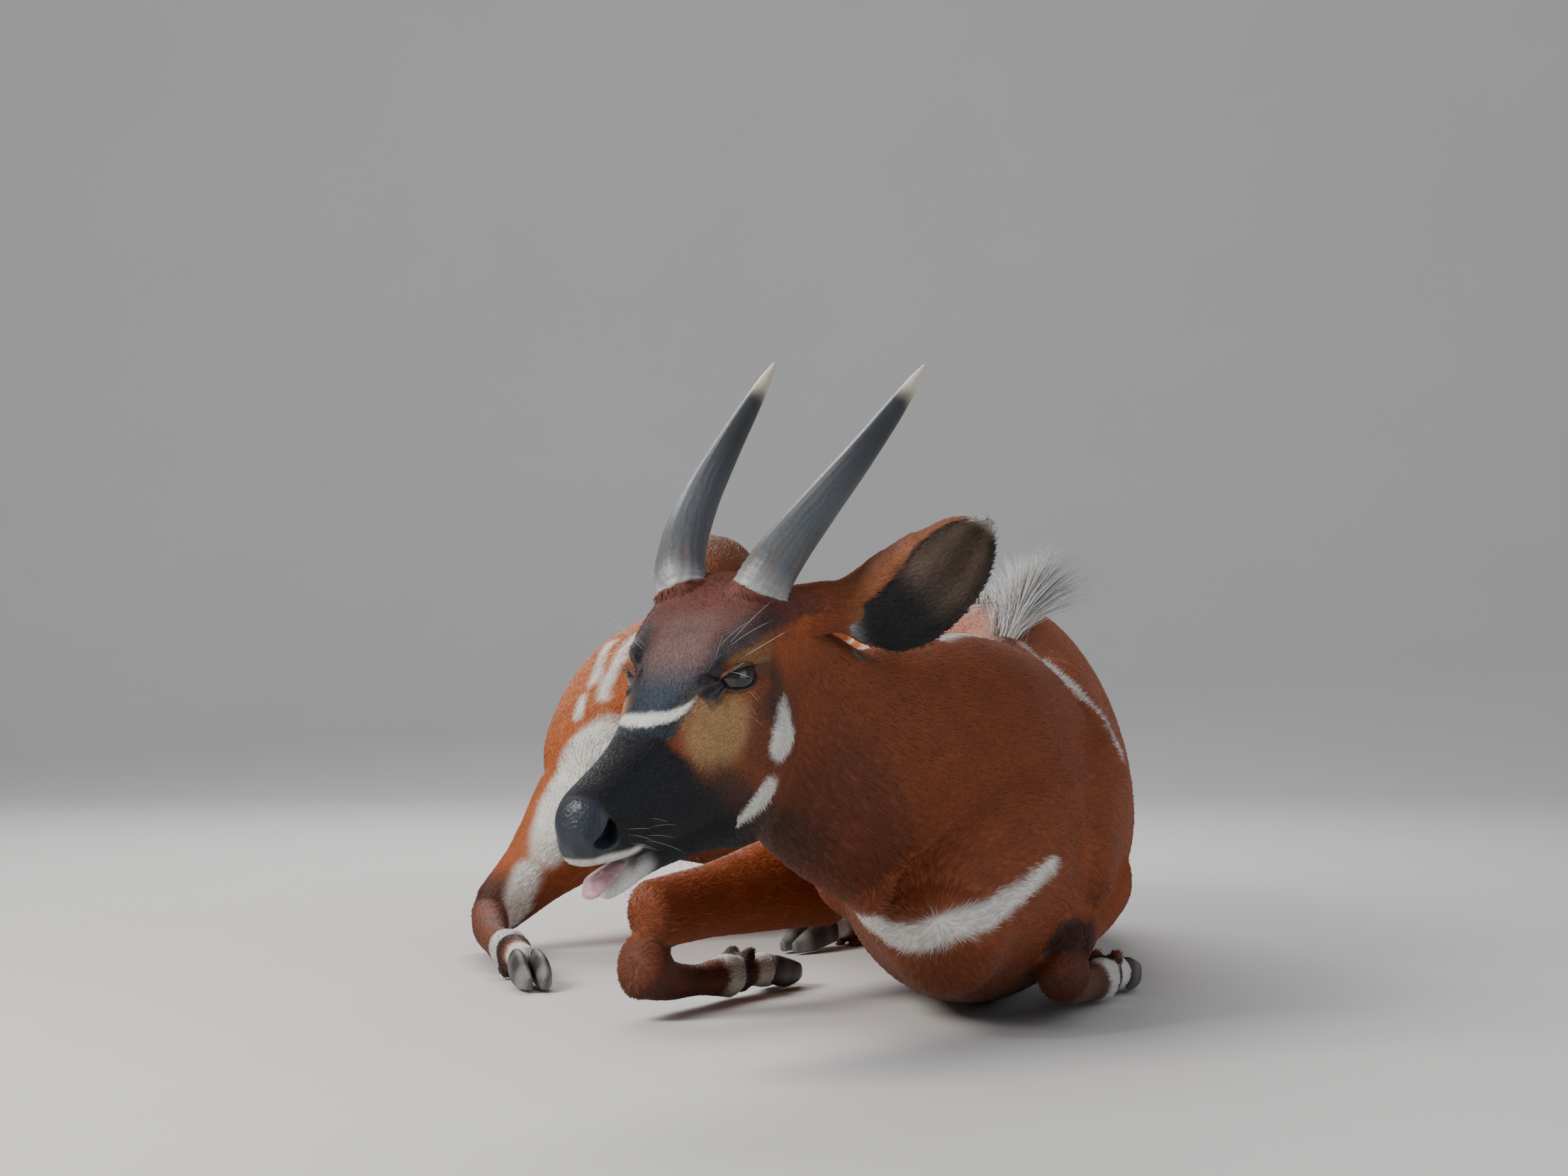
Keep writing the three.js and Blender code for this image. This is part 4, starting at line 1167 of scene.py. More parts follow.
def head_tint(points, colours):
    """The colours of the head without its ears."""
    h = both_sides(points)
    h = h + 1.4 * np.stack([waver(points, 38, 1), waver(points, 31, 2), waver(points, 35, 3)], 1)
    h[:, 1] = np.maximum(h[:, 1], 0)
    x, y, z = h.T
    over = z - np.interp(x, FOREHEAD_EDGE[:, 0], FOREHEAD_EDGE[:, 2])
    within = np.interp(x, FOREHEAD_EDGE[:, 0], FOREHEAD_EDGE[:, 1]) - y
    top = np.maximum(fade(over, -3, 3), fade(within, -3, 3) * fade(z, -14, -4)) * fade(x, -70, -30)
    edging = ridge(h, FOREHEAD_EDGE + (0, -3, 5), 13) * fade(x, 0, 40)
    ahead = x - np.interp(z, *MUZZLE_EDGE)
    lower = fade(-z, 30, 74)
    cheek = fade(1.7 * blob(h, (145, 48, -28), (44, 30, 36)), 0.25, 1.0)
    back = np.where(points[:, 1] > 0, *CHEVRON["back"])
    chevron_x = CHEVRON["front"] - back * (y / CHEVRON["across"]) ** CHEVRON["curve"]
    half = CHEVRON["half"] * (1 - 0.55 * (y / CHEVRON["end"]) ** 2)
    chevron = 1 - fade(np.abs(x - chevron_x) - half, -2.2, 2.2)
    reach = (1 - fade(y, CHEVRON["end"] - 4, CHEVRON["end"] + 4)) * fade(z, -26, -12)
    lip_line = np.interp(x, (268, 300, 335), (-71, -59, -49))
    lip = fade(x, 264, 288) * fade(lip_line - z, -3, 3)
    chin = fade(x, 244, 272) * fade(-z, 86, 95)
    layers = [
        ("deep", fade(-z, 70, 150) * 0.6),
        ("deep", 0.55 * fade(-x, -96, -30) * fade(-z, -10, 50)),
        ("maroon", top),
        ("mauve", top * fade(x, 34, 90)),
        ("maroon", 0.5 * top * fade(x, 40, 70) * near_line(h, FOREHEAD_RIDGE, 9, 0.7)),
        ("slate", top * fade(x, 104, 150)),
        ("shadow", 0.95 * edging),
        ("smoke", 0.6 * fade(1.6 * blob(h, (78, 58, -62), (46, 34, 46)), 0.15, 1.0)),
        ("tan", cheek * (1 - fade(ahead, -8, 4))),
        ("smoke", 0.9 * fade(ahead, -44, -6) * lower),
        ("muzzle", fade(ahead - 12 * lower, -7 - 14 * lower, 7 + 12 * lower)),
        ("pale", 0.95 * chevron * reach),
        ("brow", 0.7 * blob(h, (80, 62, 22), (26, 12, 9)) * (1 - top)),
        ("pale", 1 - fade(tapered(h, *UPPER_SPOT), -3, 3)),
        ("pale", 1 - fade(tapered(h, *LOWER_SPOT), -4, 4)),
        ("pale", np.maximum(0.9 * lip, 0.8 * chin)),
        ("shadow", 0.85 * near_line(h, EYE_CORNER, 2.8, 0.7)),
        ("smoke", 0.85 * near_line(h, BEHIND_EYE, 11.0, 0.8)),
    ]
    return painted(plain(colours.chestnut, points), colours, layers)


def lid_tint(tint, points, colours):
    """The head's colours with those of the lids."""
    for side in (1, -1):
        outside, a, b, n = lid_place(points, side)
        near = by_eye(points, side, n)
        over = fade(b, -1, 4) * (1 - fade(a, 2, 14))
        ring = fade(outside, 3, 6) * (1 - fade(outside, 8, 13))
        corner = np.exp(-(((a - 26) / 6) ** 2) - ((b - 3) / 5) ** 2)
        layers = [
            ("brow", 0.5 * near * ring * over),
            ("smoke", 0.8 * near * (1 - fade(outside, 2.6, 6.5))),
            ("shadow", 0.6 * near * corner),
            ("rim", near * (1 - fade(outside, 1.0, 2.4))),
        ]
        tint = painted(tint, colours, layers)
    return tint


def ear_place(points, normals, side):
    """Each point's share of an ear, its angle round it and whether it faces into the cup."""
    line, opens, lower = EARS[side]
    shares = np.linspace(0, 1, 60)
    centre = spline(line, shares)
    along = unit(np.gradient(centre, axis=0))
    across = unit(np.cross(along, opens))
    back = unit(np.cross(along, across))
    nearest = np.linalg.norm(points[:, None] - centre[None], axis=2).argmin(1)
    away = points - centre[nearest]
    a = (away * across[nearest]).sum(1)
    b = (away * back[nearest]).sum(1)
    table = np.array(EAR_SECTIONS, float)
    share = shares[nearest]
    radius = np.interp(share, table[:, 0], table[:, 1])
    wrap = np.radians(np.interp(share, table[:, 0], table[:, 2]))
    lobe = ear_lobe(share)
    turn = np.arctan2(a, b) / wrap
    for _ in range(4):
        hang = lower * lobe * np.maximum(turn * lower, 0) ** 2
        turn = np.clip(np.arctan2(a - hang, b) / wrap, -1.05, 1.05)
    run_across = radius * wrap * np.cos(turn * wrap) + 2 * lobe * np.maximum(turn * lower, 0)
    run_back = -radius * wrap * np.sin(turn * wrap)
    outward = unit(back[nearest] * run_across[:, None] - across[nearest] * run_back[:, None])
    return share, turn * lower, ((normals * outward).sum(1) < -0.05).astype(float)


def ear_tint(points, normals, colours, side):
    """The colours of an ear: brown outside, grey-brown and dark in the cup, with painted shade that makes
    the cup near black towards its root, and pale at its tip and its root.
    """
    share, turn, inner = ear_place(points, normals, side)
    where = np.stack([share, turn, 0 * turn], 1)
    rim = fade(np.maximum(-turn, fade(share, 0.85, 1.0)), 0.86, 0.97)
    back_layers = [
        ("mauve", 0.55 * bell(turn, -0.55, 0.2) * fade(share, 0.15, 0.5)),
        ("muzzle", 0.9 * rim * fade(share, 0.3, 0.6)),
    ]
    cup_layers = [
        ("muzzle", 0.55 * blob(where, (0.8, -0.45, 0), (0.12, 0.3, 1))),
        ("muzzle", 0.35 + 0.25 * np.sin(turn * 9 + 4 * share)),
        # Painted shade: the cup made near black towards its root, where it lies deep in shade
        ("muzzle", 0.92 * (1 - fade(share - 0.14 * turn, 0.42, 0.58))),
        ("muzzle", 0.75 * fade(turn, 0.72, 0.98)),
        ("pale", 0.8 * blob(where, (0.16, 0.55, 0), (0.07, 0.4, 1))),
    ]
    tint = painted(plain(colours.ear, points), colours, back_layers)
    cup = painted(plain(colours.cup, points), colours, cup_layers)
    tint = tint + inner[:, None] * (cup - tint)
    return paint(tint, colours.pale, fade(share, 0.92, 0.99) * 0.85)


# Upright stripes of the trunk, counted from the first towards the tail
STRIPES = {"count": 8, "first": 192.0, "apart": 63.0, "ends": (90.0, 180.0), "half": 5.0}


def stripe_mask(points):
    """1 on the thin upright stripes of the trunk."""
    _, y, z = points.T
    random = np.random.default_rng(11)
    mask = np.zeros(len(points))
    for number in range(STRIPES["count"]):
        top_y = STRIPES["first"] + STRIPES["apart"] * number + random.uniform(-7, 7)
        lowest = random.uniform(*STRIPES["ends"])
        bend = random.uniform(-0.05, 0.16)
        middle = top_y + bend * (400 - z) + 5 * np.sin(z / 47 + number)
        half = STRIPES["half"] * (1 - 0.35 * fade(-z, -260, -lowest))
        line = 1 - fade(np.abs(y - middle), half * 0.55, half * 1.45)
        mask = np.maximum(mask, line * fade(z, lowest - 16, lowest + 10))
    return mask


# The white crescent of the chest, with half its width at some places across
CHEST_CRESCENT = (
    (72, -379, 110),
    (90, -447, 107),
    (125, -485, 101),
    (161, -494, 115),
    (194, -483, 124),
    (231, -442, 144),
    (262, -397, 167),
)
CRESCENT_HALVES = ((72, 125, 200, 265), (9, 14, 12.5, 7))

# Lines on the right haunch, over the withers and down the left shoulder, each with half its width
SINGLE_STRIPES = (
    (((-214, 500, 364), (-222, 475, 352), (-227, 438, 334), (-233, 414, 318)), 7.0),
    (((-170, 490, 372), (-192, 468, 361), (-203, 430, 339), (-216, 399, 312), (-217, 385, 301)), 8.0),
    (((-244, 399, 302), (-248, 370, 278)), 6.5),
    (((150, -350, 378), (190, -275, 384), (235, -75, 390)), 7.0),
    (
        (
            (252, -64, 373),
            (262, -86, 365),
            (278, -101, 349),
            (293, -132, 332),
            (310, -165, 314),
            (323, -174, 298),
            (338, -188, 277),
            (347, -192, 258),
        ),
        5.6,
    ),
)

# The dark line along the back
SPINE_LINE = ((230, -140, 372), (236, 60, 414), (236, 360, 418))

# White patches of the right hind leg, each with half its width
LEG_PATCHES = (
    (((-205, 340, 262), (-230, 330, 240), (-250, 331, 212), (-266, 326, 178)), 27),
    (((-266, 326, 178), (-278, 319, 150), (-277, 309, 122)), 21),
    (((-300, 296, 94), (-309, 290, 66), (-314, 288, 40)), 18),
)


def body_tint(points, names, shares, colours):
    """The colours of the trunk, neck, tail and legs, with painted light on the haunch and painted shade on
    the neck, chest, shoulders and lowest parts.
    """
    x, y, z = points.T
    trunk = np.isin(names, ("trunk", "hindleg_left_thigh"))
    layers = [
        # Painted light: the haunch and the top of the rump made lighter, as if lit by the sun
        ("bright", 0.55 * fade(y, 120, 520) * fade(z, 60, 160)),
        # Painted shade: the lowest parts of the body, under it and near the floor, made darker
        ("deep", 0.6 * fade(-z, -110, -20)),
        # Painted shade: the neck, chest and shoulders made darker than the haunch, as if in shade
        ("deep", 0.42 * fade(-y + 30 * waver(points, 240, 7), 60, 330)),
        ("pale", 0.92 * stripe_mask(points) * trunk),
    ]
    layers += [("pale", 0.92 * near_line(points, line, half, 0.5)) for line, half in SINGLE_STRIPES]
    layers += [
        ("muzzle", 0.8 * near_line(points, SPINE_LINE, 16, 0.6)),
        ("pale", near_line(points, CHEST_CRESCENT, np.interp(x, *CRESCENT_HALVES), 0.3)),
    ]
    for leg in LEGS:
        shank = names == f"{leg}_{'forearm' if leg.startswith('foreleg') else 'shank'}"
        cannon = names == f"{leg}_cannon"
        pastern = names == f"{leg}_pastern"
        dark_end = 0.0 if leg == "foreleg_right" else 0.75
        layers += [
            ("muzzle", dark_end * shank * fade(shares, 0.72, 0.95)),
            ("muzzle", 0.7 * cannon * (0.55 + 0.45 * waver(points, 90, 4))),
            ("pale", 0.9 * pastern * fade(shares, 0.25, 0.5)),
            ("pale", 0.85 * cannon * fade(shares, 0.84, 0.92)),
            ("muzzle", 0.85 * pastern * (1 - fade(shares, 0.1, 0.3))),
        ]
    layers += [("pale", near_line(points, line, half, 0.4)) for line, half in LEG_PATCHES]
    layers += [
        ("smoke", fade(1.5 * blob(points, (-22, -324, 108), (34, 40, 24)), 0.3, 1.0)),
        ("muzzle", (names == "tail") * fade(shares, 0.75, 0.9)),
    ]
    return painted(plain(colours.chestnut, points), colours, layers)


def mark(skin, colours):
    """Keeps the lie of the hair, the markings with their painted light and shade, and the coat's length on
    the skin.
    """
    points = points_of(skin)
    normals = normals_of(skin)
    guides = all_guides()
    names, shares, lies = follow_guides(points, guides)
    lies = lie_along(lies, normals)
    places = to_head(points)
    tint = body_tint(points, names, shares, colours)
    face = head_tint(places, colours)
    on_head = head_mask(places, -48, -12) * (names != "trunk")
    tint = tint + on_head[:, None] * (face - tint)
    tint = lid_tint(tint, places, colours)
    for side, name in ((1, "ear_left"), (-1, "ear_right")):
        here = names == name
        facing = normals[here] @ HEAD_AXES
        share, _, _ = ear_place(places[here], facing, side)
        grown = fade(share, 0.06, 0.2)[:, None]
        tint[here] = tint[here] + grown * (ear_tint(places[here], facing, colours, side) - tint[here])
    nose = fade(places[:, 0], 304, 314) * fade(places[:, 2], -53, -48) * on_head
    tint = paint(tint, colours.nose, nose)
    bare = nose
    for side in (1, -1):
        outside, _, _, n = lid_place(places, side)
        bare = np.maximum(bare, by_eye(places, side, n) * (1 - fade(outside, 2.2, 3.6)))
    mottle = 1 + 0.10 * waver(points, 46, 5) + 0.05 * waver(points, 17, 6)
    store_tint(skin, tint * mottle[:, None])
    store(skin, "lie", "FLOAT_VECTOR", lies)
    store(skin, "bare", "FLOAT", bare)
    store(skin, "hair", "FLOAT", hair_length(places, names, on_head))
    store(skin, "region", "INT", regions(points, names, on_head))


REGIONS = ("face", "ears", "neck", "front", "flank", "rump", "thigh", "hind_legs", "forelegs")


def regions(points, names, on_head):
    """The number of the coat piece that each point belongs to."""
    legs = np.char.startswith(names, "hindleg")
    fore = np.char.startswith(names, "foreleg")
    return np.select(
        [
            np.char.startswith(names, "ear"),
            on_head > 0.5,
            names == "neck",
            names == "hindleg_right_thigh",
            legs,
            fore & (points[:, 2] < 118),
            points[:, 1] < 60,
            points[:, 1] < 440,
        ],
        [1, 0, 2, 6, 7, 8, 3, 4],
        5,
    )


def hair_length(places, names, on_head):
    """The coat's length in millimetres."""
    x, _, z = places.T
    length = np.full(len(places), 10.5)
    length = np.where(names == "neck", 13.0, length)
    leg = np.char.startswith(names, "hindleg") | np.char.startswith(names, "foreleg")
    low_leg = np.char.endswith(names, "cannon") | np.char.endswith(names, "pastern")
    length = np.where(low_leg, 7.0, np.where(leg, 9.0, length))
    face = 4.2 + 4.5 * fade(-x, -110, 10) + 5 * fade(-z, 90, 160)
    face = face - 1.2 * fade(x, 200, 300)
    length = length + on_head * (face - length)
    length = np.where(np.char.startswith(names, "ear"), 6.5, length)
    return length


# Coat

# Half the size of a tuft's patch on the unwrap
PATCH = 0.0015

# How deep a tuft's foot lies in the skin, how far tufts stray from the lie of the coat, how light each of a
# tuft's four points is, from its foot to its tip, and how light whole tufts are
TUFT_SUNK = 0.6
TUFT_SPREAD = 0.16
TUFT_RAMP = (0.95, 0.95, 1.0, 1.08)
TUFT_SHADES = (0.93, 1.1)


def scatter(skin, region, count, seed):
    """Roots spread evenly over one region of the skin, with what the skin keeps there."""
    random = np.random.default_rng(seed)
    corners = triangles_of(skin)
    region_of = stored(skin, "region")
    bare = stored(skin, "bare")
    inside = region_of[corners[:, 0]] == region
    inside &= bare[corners].max(1) < 0.5
    points = points_of(skin)
    normals = normals_of(skin)
    tri = corners[inside]
    a, b, c = (points[tri[:, k]] for k in range(3))
    area = np.linalg.norm(np.cross(b - a, c - a), axis=1) / 2
    hair = stored(skin, "hair")[tri].mean(1)
    weight = area / hair**1.2
    chance = np.cumsum(weight / weight.sum())
    pick = np.searchsorted(chance, (np.arange(count) + random.random(count)) / count)
    pick = np.minimum(pick, len(tri) - 1)
    u, v = random.random(count), random.random(count)
    flip = u + v > 1
    u, v = np.where(flip, 1 - u, u), np.where(flip, 1 - v, v)
    share = np.stack([1 - u - v, u, v], 1)
    chosen = tri[pick]
    loops = read(skin.data.loop_triangles, "loops", 3, np.int32)[inside][pick]

    def blend(values):
        return (values[chosen] * share[..., None]).sum(1)

    return {
        "root": blend(points),
        "normal": unit(blend(normals)),
        "lie": blend(stored(skin, "lie", 3)),
        "tint": blend(stored(skin, "tint", 4)),
        "hair": blend(stored(skin, "hair")[:, None])[:, 0],
        "uv": (loop_uv(skin)[loops] * share[..., None]).sum(1),
        "random": random,
    }


def tuft_piece(name, roots, width, lift):
    """One mesh of many small closed tufts, each four points."""
    random = roots["random"]
    normal = roots["normal"]
    count = len(normal)
    lie = lie_along(roots["lie"] + TUFT_SPREAD * random.standard_normal((count, 3)), normal)
    side = np.cross(normal, lie)
    length = roots["hair"] * random.uniform(0.75, 1.2, count)
    half = (roots["hair"] * width * random.uniform(0.8, 1.2, count) / 2)[:, None]
    steep = np.radians(lift * random.uniform(0.6, 1.5, count))[:, None]
    root = roots["root"] - normal * TUFT_SUNK
    tip = root + length[:, None] * (lie * np.cos(steep) + normal * np.sin(steep))
    height = TUFT_SUNK + length[:, None] * (0.08 + 0.3 * np.sin(steep))
    top = root + lie * length[:, None] * 0.3 + normal * height
    points = np.stack([root - side * half, root + side * half, top, tip], 1).reshape(-1, 3)
    points[:, 2] = np.maximum(points[:, 2], COAT_LOWEST)
    start = 4 * np.arange(count)[:, None]
    faces = ((0, 3, 2), (2, 3, 1), (0, 1, 3), (0, 2, 1))
    corners = np.concatenate([start + face for face in faces], 1).reshape(-1, 3)
    piece = new_mesh(name, points, corners)
    shade = random.uniform(*TUFT_SHADES, count)
    tint = np.repeat(roots["tint"], 4, 0)
    ramp = np.tile(TUFT_RAMP, count) * np.repeat(shade, 4)
    tint[:, :3] *= ramp[:, None]
    store_tint(piece, tint)
    patch_uv(piece, roots["uv"], 4)
    soft = unit(normal + 0.35 * lie * np.sin(steep) + 0.12 * random.standard_normal((count, 3)))
    lean = np.stack([unit(soft - 0.35 * side), unit(soft + 0.35 * side), soft, unit(soft + 0.2 * lie)], 1)
    shade_smooth(piece)
    piece.data.normals_split_custom_set_from_vertices(lean.reshape(-1, 3).astype(np.float32))
    return piece


def patch_uv(piece, places, corners_each):
    """Gives each tuft a small patch of the skin's unwrap, at its root."""
    turn = np.arange(corners_each) / corners_each * math.tau
    ring = np.stack([np.cos(turn), np.sin(turn)], 1) * PATCH
    places = np.repeat(places, corners_each, 0) + np.tile(ring, (len(places), 1))
    layer = piece.data.uv_layers.new(name="OFBake")
    spots = np.clip(places[loop_points(piece)], 0, 1)
    layer.data.foreach_set("uv", spots.astype(np.float32).ravel())


def unwrap(piece, angle=66):
    select_only(piece)
    bpy.ops.object.mode_set(mode="EDIT")
    bpy.ops.mesh.select_all(action="SELECT")
    bpy.ops.uv.smart_project(angle_limit=math.radians(angle), island_margin=0.001)
    bpy.ops.object.mode_set(mode="OBJECT")
    piece.data.uv_layers[0].name = "OFBake"


# Materials


def material(name, build):
    made = bpy.data.materials.new(name)
    made.use_nodes = True
    nodes, links = made.node_tree.nodes, made.node_tree.links
    shader = nodes["Principled BSDF"]
    build(nodes, links, shader)
    return made


def give(piece, made):
    piece.data.materials.clear()
    piece.data.materials.append(made)


def set_inputs(node, **values):
    """Sets inputs of a node by their names, with _ in place of spaces."""
    for name, value in values.items():
        node.inputs[name.replace("_", " ")].default_value = value


def add_noise(nodes, links, scale, detail=3.0, stretch=(1, 1, 1)):
    coordinates = nodes.new("ShaderNodeTexCoord")
    mapping = nodes.new("ShaderNodeMapping")
    set_inputs(mapping, Scale=stretch)
    noise = nodes.new("ShaderNodeTexNoise")
    set_inputs(noise, Scale=scale, Detail=detail)
    links.new(coordinates.outputs["Object"], mapping.inputs["Vector"])
    links.new(mapping.outputs["Vector"], noise.inputs["Vector"])
    return noise


def add_bump(nodes, links, shader, height, strength, distance):
    bump = nodes.new("ShaderNodeBump")
    set_inputs(bump, Strength=strength, Distance=distance)
    links.new(height, bump.inputs["Height"])
    links.new(bump.outputs["Normal"], shader.inputs["Normal"])


def mixed(nodes, links, factor, first, second, blend="MIX"):
    mix = nodes.new("ShaderNodeMix")
    mix.data_type = "RGBA"
    mix.blend_type = blend
    for socket, value in ((mix.inputs[0], factor), (mix.inputs[6], first), (mix.inputs[7], second)):
        if isinstance(value, bpy.types.NodeSocket):
            links.new(value, socket)
        else:
            socket.default_value = value
    return mix.outputs[2]


def add_attribute(nodes, name):
    attribute = nodes.new("ShaderNodeAttribute")
    attribute.attribute_name = name
    return attribute


def add_range(nodes, links, value, low, high):
    """A value from 0 to 1 spread from low to high."""
    spread = nodes.new("ShaderNodeMapRange")
    set_inputs(spread, To_Min=low, To_Max=high)
    links.new(value, spread.inputs["Value"])
    return spread.outputs["Result"]


def add_tint(nodes, links, shader, noise, low=0.72, high=1.25):
    """The colour kept on the mesh, made darker and lighter by a noise."""
    tint = add_attribute(nodes, "tint").outputs["Color"]
    shade = add_range(nodes, links, noise.outputs["Fac"], low, high)
    links.new(mixed(nodes, links, 1.0, tint, shade, "MULTIPLY"), shader.inputs["Base Color"])


def skin_material(name):
    """Short hair over skin, with a moist pebbled nose and dark smooth lids where the skin is bare."""

    def build(nodes, links, shader):
        bare = add_attribute(nodes, "bare").outputs["Fac"]
        noise = add_noise(nodes, links, 900.0)
        add_tint(nodes, links, shader, noise)
        links.new(add_range(nodes, links, bare, 0.66, 0.4), shader.inputs["Roughness"])
        set_inputs(shader, Specular_IOR_Level=0.45)
        pebbles = nodes.new("ShaderNodeTexVoronoi")
        pebbles.feature = "SMOOTH_F1"
        set_inputs(pebbles, Scale=420.0)
        coordinates = nodes.new("ShaderNodeTexCoord")
        links.new(coordinates.outputs["Object"], pebbles.inputs["Vector"])
        height = nodes.new("ShaderNodeMix")
        links.new(bare, height.inputs[0])
        links.new(noise.outputs["Fac"], height.inputs[2])
        links.new(pebbles.outputs["Distance"], height.inputs[3])
        add_bump(nodes, links, shader, height.outputs[0], 0.5, 0.001)

    return material(name, build)


def fur_material(name, roughness, sheen):
    def build(nodes, links, shader):
        noise = add_noise(nodes, links, 900.0)
        add_tint(nodes, links, shader, noise)
        set_inputs(shader, Roughness=roughness, Specular_IOR_Level=0.35)
        set_inputs(shader, Sheen_Weight=sheen, Sheen_Roughness=0.45)
        add_bump(nodes, links, shader, noise.outputs["Fac"], 0.5, 0.001)

    return material(name, build)


def horn_material(name, roughness):
    def build(nodes, links, shader):
        noise = add_noise(nodes, links, 60, 5.0, (4, 1, 4))
        add_tint(nodes, links, shader, noise, high=1.2)
        rough = add_range(nodes, links, noise.outputs["Fac"], roughness - 0.1, roughness + 0.12)
        links.new(rough, shader.inputs["Roughness"])
        add_bump(nodes, links, shader, noise.outputs["Fac"], 0.25, 0.001)

    return material(name, build)


def wet_material(name, roughness, bump, **settings):
    """The smooth wet surface of an eye or a tongue: its bump is a noise's scale, strength and depth."""
    scale, strength, depth = bump

    def build(nodes, links, shader):
        links.new(add_attribute(nodes, "tint").outputs["Color"], shader.inputs["Base Color"])
        set_inputs(shader, Roughness=roughness, **settings)
        noise = add_noise(nodes, links, scale, 2.0)
        add_bump(nodes, links, shader, noise.outputs["Fac"], strength, depth)

    return material(name, build)


# Horns, hooves, eyes and tongue

# How far a horn's foot goes down into the head
HORN_SUNK = 20

# Shares of a horn's length, and its thickness at each as a share of that at its foot
HORN_SHARES = (0, 0.12, 0.3, 0.5, 0.7, 0.84, 0.94, 0.985)
HORN_SIZES = (1, 0.96, 0.86, 0.72, 0.56, 0.42, 0.26, 0.12)


def horn_shape(side):
    """Points and triangles of a smooth horn, each point's share of the way and its place off the middle."""
    curve = horn_points(side)
    first = bezier(curve, (0.0, 0.01))
    root = first[0] - unit(first[1] - first[0]) * HORN_SUNK
    stations = [(*root, HORN_BASE_RADIUS, HORN_BASE_RADIUS)]
    for share, size in zip(HORN_SHARES, HORN_SIZES):
        radius = HORN_BASE_RADIUS * size
        stations.append((*bezier(curve, (share,))[0], radius * 0.96, radius * 1.04))
    points, corners = form(stations, sides=56, steps=14, round_end=1.0)
    line = bezier(curve, np.linspace(0, 1, 400))
    nearest = np.linalg.norm(points[:, None] - line[None], axis=2).argmin(1)
    return points, corners, nearest / 399, points - line[nearest]


def build_horn(side, colours):
    """A horn with low rings at its foot, fine grooves and a twisted keel."""
    points, corners, share, away = horn_shape(side)
    radius = np.linalg.norm(away, axis=1)
    outward = unit(away)
    up, aside = np.array((0, 0.3 * side, 1.0)), np.array((0, 1.0, -0.3 * side))
    way = np.arctan2(outward @ up, outward @ aside * side)
    rings = 0.55 * np.sin(share * 170 + 0.8 * np.sin(way * 2)) * (1 - fade(share, 0.02, 0.30))
    keel = 0.9 * bell(way - 0.6, 1.4 * share, 0.5) * (1 - fade(share, 0.5, 0.9))
    grooves = 0.25 * np.sin(way * 17 + 9 * share) * (1 - fade(share, 0.55, 0.85))
    relief = np.minimum(rings + keel + grooves, radius * 0.2)
    points = points + outward * relief[:, None] - outward * 0.7
    horn = new_mesh(f"horn_{SIDES[side]}_shape", from_head(points), corners)
    shade_smooth(horn)
    worn = 0.5 + 0.5 * np.sin(way * 5 + 2 + 2 * waver(points, 40, 6))
    worn = bell(share, 0.17, 0.1) * worn
    layers = [
        ("horn_pale", (1 - fade(share, 0.0, 0.2)) * 0.8),
        ("horn_dark", fade(share, 0.45, 0.78) * 0.85),
        ("horn_worn", 0.45 * worn),
        ("ivory", fade(share, 0.86, 0.93)),
    ]
    tint = painted(plain(colours.horn, points), colours, layers)
    streaks = np.sin(way * 23 + 5 * waver(points, 60, 3)) * (1 - fade(share, 0.8, 0.9))
    tint = tint * (1 + 0.14 * streaks)[:, None]
    store_tint(horn, tint)
    store(horn, "share", "FLOAT", share)
    return horn


def claw_shape(leg, turn):
    start, end, sole = LEGS[leg]["hoof"]
    start, end = np.array(start, float), np.array(end, float)
    along = unit(end - start)
    top = np.array((0, 0, float(sole)))
    side = unit(np.cross(along, top))
    rows = (
        (-0.1, 10.5, 9.6, 17, 15, 3),
        (0.3, 11.3, 10.4, 18, 14, 4),
        (0.7, 11.1, 9, 12, 12, 5),
        (1, 8.5, 4.5, 5, 9, 5),
    )
    stations = []
    for share, apart, wide, high, deep, keel in rows:
        middle = start + (end - start) * share + side * turn * apart
        stations.append((*middle, wide, high, deep, 2.0, keel, tuple(top)))
    return form(stations, sides=40, steps=10, round_end=0.7, grow=-0.3)


def build_hooves(colours):
    made = []
    for leg in LEGS:
        for turn, name in ((1, "outer"), (-1, "inner")):
            points, corners = claw_shape(leg, turn)
            points[:, 2] = np.maximum(points[:, 2], 0.3)
            start, end, _ = LEGS[leg]["hoof"]
            along = unit(np.subtract(end, start))
            way = (points - start) @ along
            rings = np.sin(way / 5.5 * math.tau + waver(points, 30, 2))
            points = points + 0.25 * rings[:, None] * (0, 0, 0.7)
            node = f"{leg}_hoof_{name}"
            hoof = new_mesh(f"{node}_shape", points, corners)
            shade_smooth(hoof)
            tint = plain(colours.hoof, points)
            tint = paint(tint, colours.horn_pale, 0.3 * fade(way, 35, 60) + 0.12 * np.sin(way / 7))
            store_tint(hoof, tint)
            made.append((hoof, node))
    return made


# Where the edges of the iris and of the lying pupil start and end, from the middle of the cornea
IRIS_EDGE = (13.4, 15.0)
PUPIL_ENDS = (8.6, 9.8)
PUPIL_SIDES = (4.0, 5.2)


